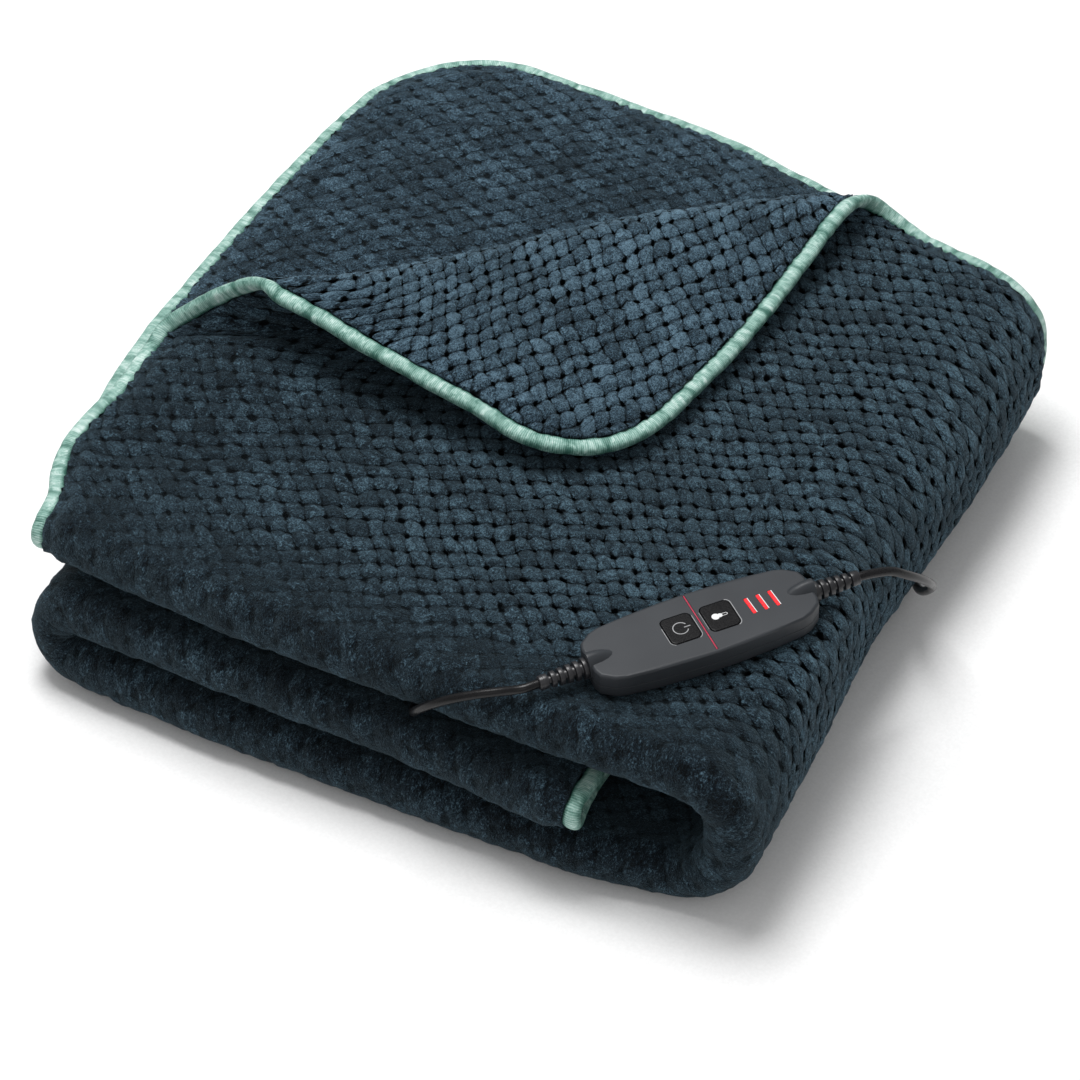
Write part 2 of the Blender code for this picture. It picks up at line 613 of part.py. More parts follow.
def blanket_lead_route():
    """From the controller over the front of the top run, into the gap below it."""
    return [tip(-1), tip(-1, 0.009), (0.0790, -0.2205, 0.1110), (0.0655, -0.2260, 0.1060),
            (0.0520, -0.2307, 0.0990), (0.0405, -0.2320, 0.0900), (0.0310, -0.2300, 0.0805),
            (0.0255, -0.2240, 0.0735), (0.0225, -0.2150, 0.0705), (0.0210, -0.2000, 0.0704),
            (0.0200, -0.1600, 0.0704), (0.0200, -0.1000, 0.0704)]


def beside_coil(degrees, beyond=0.0):
    """A point that touches the coil from outside, or one further back along its tangent."""
    angle = math.radians(degrees)
    radius = COIL_MIDDLE + COIL_ACROSS * CORD / 2 + CORD / 2 + GAP
    return (COIL_AT[0] + radius * math.cos(angle) - beyond * math.sin(angle),
            COIL_AT[1] + radius * math.sin(angle) + beyond * math.cos(angle), CORD / 2 + 0.0005)


def mains_route():
    """Over the right side, under it to the surface, and back along the pile to the coil."""
    low = CORD / 2 + 0.0005
    return [tip(1), tip(1, 0.006), (0.2350, -0.0450, 0.1170), (0.2405, -0.0355, 0.1095),
            (0.2435, -0.0250, 0.0985), (0.2440, -0.0140, 0.0850), (0.2410, -0.0030, 0.0695),
            (0.2350, 0.0080, 0.0530), (0.2270, 0.0230, 0.0340), (0.2185, 0.0420, 0.0170),
            (0.2115, 0.0600, 0.0072),
            (0.2070, 0.0820, low), (0.2060, 0.1200, low), (0.2060, 0.1600, low),
            (0.2050, 0.1950, low), (0.1980, 0.2250, low), (0.1800, 0.2480, low),
            (0.1500, 0.2590, low), (0.1150, 0.2600, low), beside_coil(-70, 0.020), beside_coil(-70)]


def plug_route():
    """From the coil to the plug."""
    start = beside_coil(-125)
    ahead = beside_coil(-125, -0.016)
    back = PLUG_AT[0] + PLUG_BACK + GAP
    return [start, (ahead[0], ahead[1], 0.0045), (back + 0.022, PLUG_AT[1] - 0.0007, 0.0063),
            (back + 0.012, PLUG_AT[1], PLUG_HIGH / 2), (back, PLUG_AT[1], PLUG_HIGH / 2)]


def coil(group, finish):
    """The outer shape of the coiled lead, a turned ring."""
    half = CORD / 2
    across = COIL_ACROSS * half
    top = COIL_LAYERS * CORD
    profile = []
    for cx, cz, start in ((across - half, top - half, 0.5), (across - half, half, 0.0),
                          (half - across, half, -0.5), (half - across, top - half, -1.0)):
        for k in range(4):
            angle = math.pi * (start - k / 6)
            profile.append((COIL_MIDDLE + cx + half * math.cos(angle), 0, cz + half * math.sin(angle)))
    mesh = bpy.data.meshes.new("lead_coil")
    mesh.from_pydata(profile, [(i, (i + 1) % len(profile)) for i in range(len(profile))], [])
    made = add("lead_coil", mesh, group)
    turned = made.modifiers.new("turned", "SCREW")
    turned.axis = "Z"
    turned.steps = turned.render_steps = 28
    turned.use_merge_vertices = True
    turned.merge_threshold = 0.0001
    mesh.materials.append(finish)
    made.location = (*COIL_AT, 0.0)


def plug(group, plastic, metal):
    """A flat two pin plug, lying beside the coil with its pins to the left."""
    turn = Matrix.Translation((*PLUG_AT, 0.0)) @ Matrix.Rotation(math.pi, 4, "Z")
    half = [(-PLUG_BACK, 0.0050), (-0.010, 0.0125), (0.0, 0.0172), (0.008, 0.0172), (PLUG_BACK, 0.0130)]
    body = slab(half + [(a, -b) for a, b in reversed(half)], 0.0, PLUG_HIGH)
    bevel_at(body, PLUG_HIGH, 0.0030, 2)
    bevel_at(body, 0.0, 0.0030, 2)
    made = from_bmesh("mains_plug", body, group, plastic)
    made.matrix_world = turn
    for number, side in enumerate((-1, 1)):
        pin = bmesh.new()
        bmesh.ops.create_cone(pin, cap_ends=True, segments=12, radius1=0.0020, radius2=0.0020,
                              depth=PIN_LONG)
        bmesh.ops.rotate(pin, verts=pin.verts, matrix=Matrix.Rotation(math.pi / 2, 3, "Y"))
        bmesh.ops.translate(pin, verts=pin.verts,
                            vec=(PLUG_BACK + GAP + PIN_LONG / 2, side * PIN_APART / 2, PLUG_HIGH / 2))
        made = from_bmesh("plug_pin_%d" % (number + 1), pin, group, metal)
        made.matrix_world = turn


def main():
    for thing in list(bpy.data.objects):
        bpy.data.objects.remove(thing, do_unlink=True)
    parts = collection("electric_heated_blanket")
    cutters = collection("cutters")
    mats = {
        "cloth": material("honeycomb pile fleece", (0.020, 0.040, 0.055), 0.95),
        "tape": material("mint satin tape", (0.300, 0.560, 0.450), 0.55),
        "housing": material("charcoal plastic", (0.020, 0.021, 0.024), 0.45),
        "key": material("black key pad", (0.008, 0.008, 0.010), 0.25),
        "red": material("red lens", (0.700, 0.010, 0.015), 0.30),
        "rubber": material("black rubber", (0.012, 0.012, 0.014), 0.55),
        "lead": material("black lead sheath", (0.012, 0.012, 0.014), 0.40),
        "metal": material("nickel plated brass", (0.600, 0.580, 0.540), 0.25, 1.0),
    }
    points, outward = blanket(parts, mats["cloth"])
    binding(points, outward, parts, mats["tape"])
    controller(parts, cutters, mats)
    relief("strain_relief_left", -1, parts, mats["rubber"])
    relief("strain_relief_right", 1, parts, mats["rubber"])
    tube("blanket_lead", smooth_route(blanket_lead_route(), 0.0105), parts, mats["lead"])
    tube("mains_lead", smooth_route(mains_route(), 0.012), parts, mats["lead"])
    tube("plug_lead", smooth_route(plug_route(), 0.008), parts, mats["lead"])
    coil(parts, mats["lead"])
    plug(parts, mats["lead"], mats["metal"])
    for thing in list(parts.objects) + list(cutters.objects):
        thing.location.x -= MIDDLE[0]
        thing.location.y -= MIDDLE[1]


main()
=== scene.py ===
import math

import bpy
import numpy as np
from mathutils import Matrix, Vector


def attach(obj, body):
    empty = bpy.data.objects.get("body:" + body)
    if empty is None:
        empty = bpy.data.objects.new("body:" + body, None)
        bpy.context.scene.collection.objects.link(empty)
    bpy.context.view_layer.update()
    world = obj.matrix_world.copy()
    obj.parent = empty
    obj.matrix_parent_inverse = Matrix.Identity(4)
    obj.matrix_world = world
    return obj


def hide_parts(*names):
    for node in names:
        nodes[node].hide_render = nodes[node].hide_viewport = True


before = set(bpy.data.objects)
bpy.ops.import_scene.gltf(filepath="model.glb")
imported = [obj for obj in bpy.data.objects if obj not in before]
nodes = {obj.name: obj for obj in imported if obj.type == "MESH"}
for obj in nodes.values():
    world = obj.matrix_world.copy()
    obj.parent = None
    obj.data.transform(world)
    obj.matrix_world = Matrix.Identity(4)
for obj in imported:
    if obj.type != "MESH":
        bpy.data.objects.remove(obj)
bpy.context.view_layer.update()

# small helpers


def smoothStep(low, high, x):
    t = np.clip((np.asarray(x, float) - low) / (high - low), 0.0, 1.0)
    return t * t * (3.0 - 2.0 * t)


def through(stops, x):  # a smooth curve through (x, value) stops, without overshoot
    xs, ys = np.array(stops, float).T
    x = np.clip(np.asarray(x, float), xs[0], xs[-1])
    rise = np.diff(ys) / np.diff(xs)
    slope = np.zeros(len(xs))
    same = rise[:-1] * rise[1:] > 0
    slope[1:-1][same] = (2 * rise[:-1] * rise[1:])[same] / (rise[:-1] + rise[1:])[same]
    i = np.clip(np.searchsorted(xs, x, side="right") - 1, 0, len(xs) - 2)
    w = xs[i + 1] - xs[i]
    t = (x - xs[i]) / w
    return ((2 * t**3 - 3 * t**2 + 1) * ys[i] + (t**3 - 2 * t**2 + t) * w * slope[i]
            + (3 * t**2 - 2 * t**3) * ys[i + 1] + (t**3 - t**2) * w * slope[i + 1])


def chance(a, b, seed):  # a repeatable random number from 0 to 1 for each pair of whole numbers
    value = np.sin(a * 127.1 + b * 311.7 + seed * 74.7) * 43758.5453
    return value - np.floor(value)


def wander(x, y, size, seed):  # a slow uneven field from about -1 to 1, its bumps about size apart
    total = 0.0
    for k in range(4):
        turn = 1.3 * k + 0.7 * seed
        wave = 2 * math.pi / (size * (0.8 + 0.35 * k))
        total = total + np.sin((x * math.cos(turn) + y * math.sin(turn)) * wave + 2.1 * k + seed)
    return total / 2.6


def lumps(x, y, size, seed):  # smooth random bumps about size across, from -1 to 1
    x, y = x / size, y / size
    i, j = np.floor(x), np.floor(y)
    s, t = smoothStep(0, 1, x - i), smoothStep(0, 1, y - j)
    low = chance(i, j, seed) * (1 - s) + chance(i + 1, j, seed) * s
    high = chance(i, j + 1, seed) * (1 - s) + chance(i + 1, j + 1, seed) * s
    return 2 * (low * (1 - t) + high * t) - 1


def unit(vectors):
    return vectors / np.maximum(np.linalg.norm(vectors, axis=1), 1e-12)[:, None]


def lengthAlong(points):  # the way along a line up to each of its points
    return np.concatenate([[0], np.cumsum(np.linalg.norm(np.diff(points, axis=0), axis=1))])


def linear(hexColour):  # an sRGB hex value as linear RGBA
    parts = [int(hexColour[i:i + 2], 16) / 255 for i in (1, 3, 5)]
    return tuple(c / 12.92 if c <= 0.04045 else ((c + 0.055) / 1.055) ** 2.4 for c in parts) + (1.0,)


def addNode(tree, kind, settings=None, links=None):  # a shader node with its settings, values and links
    made = tree.nodes.new(kind)
    for name, value in (settings or {}).items():
        setattr(made, name, value)
    for name, value in (links or {}).items():
        if isinstance(value, bpy.types.NodeSocket):
            tree.links.new(value, made.inputs[name])
        else:
            made.inputs[name].default_value = value
    return made


def maths(tree, operation, *values):
    return addNode(tree, "ShaderNodeMath", {"operation": operation}, dict(enumerate(values))).outputs[0]


def eased(tree, value, low, high, start, end):  # from start to end, as the value goes from low to high
    return addNode(tree, "ShaderNodeMapRange", {"interpolation_type": "SMOOTHSTEP"}, {
        "Value": value, "From Min": low, "From Max": high, "To Min": start, "To Max": end}).outputs[0]


def mottle(tree, where, size, detail=2.0, roughness=0.5, swirl=0.0, output="Fac"):  # noise, spots this size
    return addNode(tree, "ShaderNodeTexNoise", links={
        "Vector": where, "Scale": 1 / size, "Detail": detail, "Roughness": roughness,
        "Distortion": swirl}).outputs[output]


def weighed(tree, start, *terms):  # a sum of (socket, weight) terms
    total = start
    for socket, weight in terms:
        total = maths(tree, "MULTIPLY_ADD", socket, weight, total)
    return total


def newMaterial(name):
    made = bpy.data.materials.new(name)
    made.use_nodes = True
    made.node_tree.nodes.clear()
    return made, made.node_tree


def colourRamp(tree, source, stops):
    made = addNode(tree, "ShaderNodeValToRGB", links={"Fac": source})
    ramp = made.color_ramp
    while len(ramp.elements) < len(stops):
        ramp.elements.new(0.5)
    for element, (at, colour) in zip(ramp.elements, stops):
        element.position = at
        element.color = linear(colour)
    return made.outputs["Color"]


def vectors(tree, operation, *values, **named):
    links = {**dict(enumerate(values)), **named}
    return addNode(tree, "ShaderNodeVectorMath", {"operation": operation}, links).outputs[0]


def objectPlace(tree):
    return addNode(tree, "ShaderNodeTexCoord").outputs["Object"]


def uvPlace(tree, name):
    return addNode(tree, "ShaderNodeUVMap", {"uv_map": name}).outputs["UV"]


def storedValue(tree, name):
    return addNode(tree, "ShaderNodeAttribute", {"attribute_name": name}).outputs["Fac"]


def spotted(tree, size, dark, light, detail=2.0):  # a noise, and a slightly uneven colour from it
    noise = mottle(tree, objectPlace(tree), size, detail)
    return noise, colourRamp(tree, noise, ((0.3, dark), (0.7, light)))


def bumped(tree, strength, depth, height):
    return addNode(tree, "ShaderNodeBump", links={
        "Strength": strength, "Distance": depth, "Height": height}).outputs[0]


def finishMaterial(tree, links):  # the shader with its values and links, led to the output
    shader = addNode(tree, "ShaderNodeBsdfPrincipled", links=links)
    addNode(tree, "ShaderNodeOutputMaterial", links={"Surface": shader.outputs[0]})


def clearSelection():
    if bpy.context.object and bpy.context.object.mode != "OBJECT":
        bpy.ops.object.mode_set(mode="OBJECT")
    bpy.ops.object.select_all(action="DESELECT")


def pick(piece):
    clearSelection()
    piece.select_set(True)
    bpy.context.view_layer.objects.active = piece


def modify(piece, kind, **settings):  # a modifier, applied at once
    pick(piece)
    step = piece.modifiers.new(kind.lower(), kind)
    for name, value in settings.items():
        setattr(step, name, value)
    bpy.ops.object.modifier_apply(modifier=step.name)


def softenEdges(piece, radius, angle):
    modify(piece, "BEVEL", width=radius, segments=2, limit_method="ANGLE", angle_limit=math.radians(angle))


def selectFaces(piece, wanted):  # wanted is a true or false value for each face
    bpy.ops.object.mode_set(mode="OBJECT")
    mesh = piece.data
    mesh.vertices.foreach_set("select", np.zeros(len(mesh.vertices), bool))
    mesh.edges.foreach_set("select", np.zeros(len(mesh.edges), bool))
    mesh.polygons.foreach_set("select", np.asarray(wanted, bool))
    bpy.ops.object.mode_set(mode="EDIT")
    bpy.ops.mesh.select_mode(type="FACE")


def editWhole(piece, *steps):  # operators on the whole mesh, each with its settings
    pick(piece)
    bpy.ops.object.mode_set(mode="EDIT")
    bpy.ops.mesh.select_all(action="SELECT")
    for operator, settings in steps:
        operator(**settings)
    bpy.ops.object.mode_set(mode="OBJECT")


def placesOf(items, name):  # one place for each vertex or face
    flat = np.zeros(len(items) * 3)
    items.foreach_get(name, flat)
    return flat.reshape(-1, 3)


def storeMap(mesh, layer, values):  # a value pair for each vertex, written at each face corner
    corners = np.zeros(len(mesh.loops), int)
    mesh.loops.foreach_get("vertex_index", corners)
    layer.data.foreach_set("uv", np.stack(values, -1)[corners].ravel())


def storeValue(mesh, name, values):
    layer = mesh.attributes.new(name, "FLOAT", "POINT")
    layer.data.foreach_set("value", values.astype(np.float32))


def addGrid(name, across, along):
    clearSelection()
    bpy.ops.mesh.primitive_grid_add(x_subdivisions=across, y_subdivisions=along, size=2.0)
    piece = bpy.context.object
    piece.name = piece.data.name = name
    return piece


def setPlaces(mesh, places):
    mesh.vertices.foreach_set("co", np.asarray(places, float).ravel())
    mesh.update()


def placeInMesh(piece, matrix):  # the piece's place goes into its mesh, and its object stays at the origin
    piece.data.transform(matrix @ piece.matrix_world)
    piece.matrix_world = Matrix.Identity(4)


def smoothShade(piece, angle=None):
    pick(piece)
    if angle is None:
        bpy.ops.object.shade_smooth()
    else:
        bpy.ops.object.shade_smooth_by_angle(angle=math.radians(angle))


def setMaterial(piece, finish):
    piece.data.materials.clear()
    piece.data.materials.append(finish)


def dress(piece, finish, slotName, *nodeNames, body="blanket"):  # it rides the body in place of these nodes
    setMaterial(piece, finish)
    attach(piece, body)
    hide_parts(*nodeNames)


def polyCurve(points, width, closed=False):  # a round line through the points
    clearSelection()
    bpy.ops.curve.primitive_nurbs_path_add()
    made = bpy.context.object
    made.data.splines.clear()
    spline = made.data.splines.new("POLY")
    spline.points.add(len(points) - 1)
    for point, spot in zip(spline.points, points):
        point.co = (*spot, 1)
    spline.use_cyclic_u = closed
    made.data.bevel_depth = width / 2
    made.data.use_fill_caps = not closed
    return made


def meshFromCurve(name):
    bpy.ops.object.convert(target="MESH")
    piece = bpy.context.object
    piece.name = piece.data.name = name
    return piece


# how the blanket is folded

fold = {
    "sheet": 0.014,          # thickness of the pile cloth, in metres as everything here
    "half": 0.009,           # from the middle of a double cloth to each of its sheets
    "zLow": 0.016, "zMid": 0.051, "zTop": 0.090,
    "xTop": -0.214, "xRight": 0.178, "xLeft": -0.190, "xMid": 0.129,
    "yFront": -0.2115,
    "depth": 0.475,
    "corner": 0.064,
    "squareness": 2.7,       # 2 is a round bend of the double cloth at the right, more is squarer
    "turn": 0.0185,          # radius of the turned corner's crease
    "turnedTo": (0.2985, 0.1706),    # where the cloth's corner comes to lie, in flat coordinates
    "rests": 0.0025,         # the gap under it
    "turnHeight": ((-0.30, 1.18), (-0.20, 1.18), (-0.10, 1.12), (0.00, 0.80), (0.12, 0.77), (0.26, 0.77)),
    "drawnIn": ((0.0, 0.0293), (0.15, 0.0174), (0.31, 0.0137), (0.44, -0.0058)),
    "lift": 0.012,           # how far the upper sheet lifts at its left edge before it turns over
    "settles": ((-0.30, 0.34), (-0.10, 0.30), (0.0, 0.20), (0.20, 0.10)),
    "shift": (0.015, -0.032, 0.0),
    "outerReach": ((-0.2, 0.006), (-0.15, 0.018), (-0.1, 0.0114), (-0.05, 0.012), (0.0, -0.0397),
                   (0.1, -0.040), (0.3, -0.0277)),
    "innerReach": ((-0.2, 0.002), (-0.1, 0.030), (0.0, 0.038), (0.1, 0.036), (0.2, 0.030), (0.3, 0.020)),
    "lowForward": ((-0.23, 0.009), (-0.10, 0.016), (0.02, 0.0155), (0.12, 0.015), (0.20, 0.004)),
    "topBack": ((-0.22, 0.010), (-0.14, 0.004), (-0.05, 0.0)),
    "midForward": ((-0.23, 0.0045), (-0.10, 0.008), (0.00, 0.010), (0.06, 0.013), (0.12, 0.018)),
    "endSlant": -0.004, "endBack": 0.005,    # the end of the inner run
    "sideIn": 0.008,         # the right side's hollow under the controller
}
controllerAt = {"place": (0.158, -0.1365, 0.1063), "turn": math.radians(49.5), "tilt": math.radians(1.4),
                "half": 0.067, "wide": 0.024, "gap": 0.0003}
pathSteps = {"top": 159, "right": 120, "low": 149, "left": 90, "inner": 129}


def rollPath():  # the middle of the double cloth in the XZ plane: length, place, direction
    low, mid, top = fold["zLow"], fold["zMid"], fold["zTop"]
    right, left, steps = fold["xRight"], fold["xLeft"], pathSteps

    def straight(start, end, height, count):
        return np.stack([np.linspace(start, end, count), np.full(count, height)], -1)

    angle = np.linspace(math.pi / 2, -math.pi / 2, steps["right"] + 1)
    c, s = np.abs(np.cos(angle)), np.sin(angle)
    power = np.where(s > 0, fold["squareness"], 2.0)
    reach = (top - low) / 2 * (c**power + np.abs(s) ** power) ** (-1 / power)
    bend = np.stack([right + reach * c, (top + low) / 2 + reach * s], -1)
    angle = np.linspace(math.pi / 2, 3 * math.pi / 2, steps["left"] + 1)
    radius = (mid - low) / 2
    turn = np.stack([left + radius * np.cos(angle), low + radius - radius * np.sin(angle)], -1)
    points = np.concatenate([straight(fold["xTop"], right, top, steps["top"] + 1)[:-1], bend[:-1],
                             straight(right, left, low, steps["low"] + 1)[:-1], turn[:-1],
                             straight(left, fold["xMid"], mid, steps["inner"] + 1)])
    length = lengthAlong(points)
    return length, points, np.gradient(points, length, axis=0)


pathLength, pathPlace, pathAhead = rollPath()
long = float(pathLength[-1])              # the flat cloth along the roll
quarter = math.pi * fold["half"] / 2
wide = quarter + fold["depth"]            # half of the flat cloth the other way
uRight = fold["xRight"] - fold["xTop"]
uLow, uLeft, uMid = (float(pathLength[i]) for i in np.cumsum(list(pathSteps.values()))[1:4])
backEdge = ((0.0, 0.302), (0.18, 0.292), (0.24, 0.279), (0.30, 0.262), (0.34, 0.246),
            (0.38, 0.230), (0.42, 0.214), (0.46, 0.205), (0.52, 0.200), (0.60, 0.205),
            (0.88, 0.235), (0.97, 0.235), (long, 0.215))
cornerFrom = np.array([0.0, wide])
turnWay = np.array(fold["turnedTo"]) - cornerFrom
across = turnWay / np.linalg.norm(turnWay)
along = np.array([-across[1], across[0]])
creaseAt = cornerFrom + across * (np.linalg.norm(turnWay) + math.pi * fold["turn"]) / 2


def controllerMatrix():
    turn = Matrix.Rotation(controllerAt["turn"], 4, "Z") @ Matrix.Rotation(-controllerAt["tilt"], 4, "Y")
    return Matrix.Translation(controllerAt["place"]) @ turn


def seatForController(x, y, z, upper):  # the cloth under the controller is pressed flat
    height = controllerAt["place"][2]
    inverse = np.array(controllerMatrix().inverted())
    a, b = (inverse[k][0] * x + inverse[k][1] * y + inverse[k][2] * height + inverse[k][3] for k in (0, 1))
    outside = np.hypot(np.maximum(np.abs(a) - controllerAt["half"], 0),
                       np.maximum(np.abs(b) - controllerAt["wide"], 0))
    press = (1 - smoothStep(0.010, 0.060, outside)) * upper
    seat = height + a * math.sin(controllerAt["tilt"]) - fold["sheet"] / 2 - 2 * controllerAt["gap"]
    return z + press * (seat - z)


def laid(u, v):  # where a point of the flat cloth lies, before its corner is turned over
    half, front = fold["half"], fold["yFront"]
    px = np.interp(u, pathLength, pathPlace[:, 0]) + np.minimum(u, 0) + np.maximum(u - long, 0)
    pz = np.interp(u, pathLength, pathPlace[:, 1])
    tx = np.interp(u, pathLength, pathAhead[:, 0])
    tz = np.interp(u, pathLength, pathAhead[:, 1])
    norm = np.hypot(tx, tz)
    nx, nz = -tz / norm, tx / norm
    outer = v > 0
    far = np.abs(v)
    angle = np.clip(far / half, 0, math.pi / 2)
    inFold = far < quarter
    back = through(backEdge, u)
    y = np.where(inFold, front - half * np.cos(angle),
                 front + (far - quarter) * (back - front) / fold["depth"])
    off = np.sign(v) * np.where(inFold, half * np.sin(angle), half)
    x = px + nx * off
    z = pz + nz * off
    left = 1 - smoothStep(0.0, 0.20, u)  # the left end reaches out unevenly
    x = x - left * (smoothStep(0.0, 0.10, -v) * through(fold["innerReach"], y)
                    + smoothStep(0.0, 0.05, v) * through(fold["outerReach"], y))
    near = 1 - smoothStep(-0.22, -0.05, y)  # the front line wanders
    below = smoothStep(uRight, uLow, u)
    inmost = smoothStep(uLeft, uMid, u)
    y = y - near * (below * (1 - inmost) * through(fold["lowForward"], x)
                    + inmost * through(fold["midForward"], x) - (1 - below) * through(fold["topBack"], x))
    end = smoothStep(long - 0.10, long, u) * (1 - smoothStep(0.04, 0.16, far))
    x = x + end * (fold["endSlant"] * smoothStep(0.0, 0.03, -v) - fold["endBack"])
    x = x - fold["sideIn"] * np.exp(-((y + 0.03) / 0.09) ** 2) * smoothStep(0.05, 0.22, x)
    sag = (1 - smoothStep(-0.25, -0.16, x)) * (0.015 + 0.045 * smoothStep(-0.20, -0.08, y))
    sag = sag + smoothStep(0.22, 0.30, y) * 0.05
    floor = fold["sheet"] / 2
    z = floor + (z - floor) * (1 - sag)
    onTop = outer * (1 - smoothStep(uRight + 0.03, uRight + 0.07, u)) \
        * smoothStep(quarter * 0.6, quarter + 0.02, v)
    z = seatForController(x, y, z, onTop)
    return np.stack([x, y, z], -1)


def pastCrease(u, v):
    return -((u - creaseAt[0]) * across[0] + (v - creaseAt[1]) * across[1])


def place(u, v):  # where a point of the flat cloth lies, with its corner turned over
    u = np.asarray(u, float)
    v = np.asarray(v, float)
    v = np.where(v > 0, v * (1 - through(fold["drawnIn"], u) / wide), v)
    past = pastCrease(u, v)
    side = (u - creaseAt[0]) * along[0] + (v - creaseAt[1]) * along[1]
    turned = (past > 0) & (v > 0) & (u < uRight + 0.02)
    radius = fold["turn"]
    angle = np.clip(past / radius, 0, math.pi)
    beyond = np.maximum(past - math.pi * radius, 0)
    inBend = past < math.pi * radius
    plan = np.where(inBend, radius * np.sin(angle), -beyond)
    low = through(fold["turnHeight"], side)
    up = 1 - smoothStep(0, 1, beyond / through(fold["settles"], side))
    rest = fold["sheet"] + fold["rests"]
    settle = rest + (2 * radius * low - rest) * up
    height = np.where(inBend, low * radius * (1 - np.cos(angle)), settle)
    where = laid(np.where(turned, u + across[0] * (past - plan), u),
                 np.where(turned, v + across[1] * (past - plan), v))
    lifted = smoothStep(-0.10, 0, past) * up * (1 - smoothStep(-0.20, -0.08, side)) * smoothStep(0.0, 0.1, v)
    where[..., 2] += np.where(turned, height, 0) + fold["lift"] * lifted
    return where + np.array(fold["shift"])


def roundCorner(u, v):  # the grid's square corners drawn in to the cloth's round ones
    radius = fold["corner"]
    fromEnd = np.where(u < long / 2, u, long - u)
    fromSide = wide - np.abs(v)
    p = np.clip(1 - fromEnd / radius, 0, 1)
    q = np.clip(1 - fromSide / radius, 0, 1)
    inside = (p > 0) & (q > 0)
    fromEnd = np.where(inside, radius * (1 - p * np.sqrt(1 - q * q / 2)), fromEnd)
    fromSide = np.where(inside, radius * (1 - q * np.sqrt(1 - p * p / 2)), fromSide)
    return np.where(u < long / 2, fromEnd, long - fromEnd), np.sign(v) * (wide - fromSide)


def rimDistance(u, v):  # how far a point of the flat cloth is from its rim
    radius = fold["corner"]
    a = np.abs(u - long / 2) - (long / 2 - radius)
    b = np.abs(v) - (wide - radius)
    return radius - np.hypot(np.maximum(a, 0), np.maximum(b, 0)) - np.minimum(np.maximum(a, b), 0)


def clothNormal(u, v):
    step = 0.0006
    return unit(np.cross(place(u + step, v) - place(u - step, v), place(u, v + step) - place(u, v - step)))


# materials

fleeceLook = {
    # the ramp's colours: deep is the painted shade in the pits, then shade, middle and lit
    "deep": "#020304", "shade": "#0d161d", "middle": "#23313b", "lit": "#5d7a8a",
    "lock": 0.0008,          # width of a lock of pile, in metres
    "curl": 0.0030,          # and of a curl of locks
    "patch": 0.055,          # size of the brushed patches, whose sheen is painted lighter and darker
    "strayBumps": 0.0052,    # size of the bends in a tuft's edges
    "uneven": 0.32,          # how far the edges wander, as a share of a tuft
    "groove": 0.085,         # half width of the groove between tufts, as a share of a tuft
    "gaps": 0.0065,          # size of the gaps in that groove
    "pit": (0.10, 0.15),     # a pit's least radius at a tuft's corner, and how much more it may be
    "side": 0.12,            # how much painted shade the groove keeps half way along a tuft's side
    "roundness": 2.6,        # the higher, the flatter a tuft's top
    "puff": 0.0022,          # height of a tuft in the shading
    "contrast": 1.05,
    "level": 0.325,          # how light the whole pile is
}


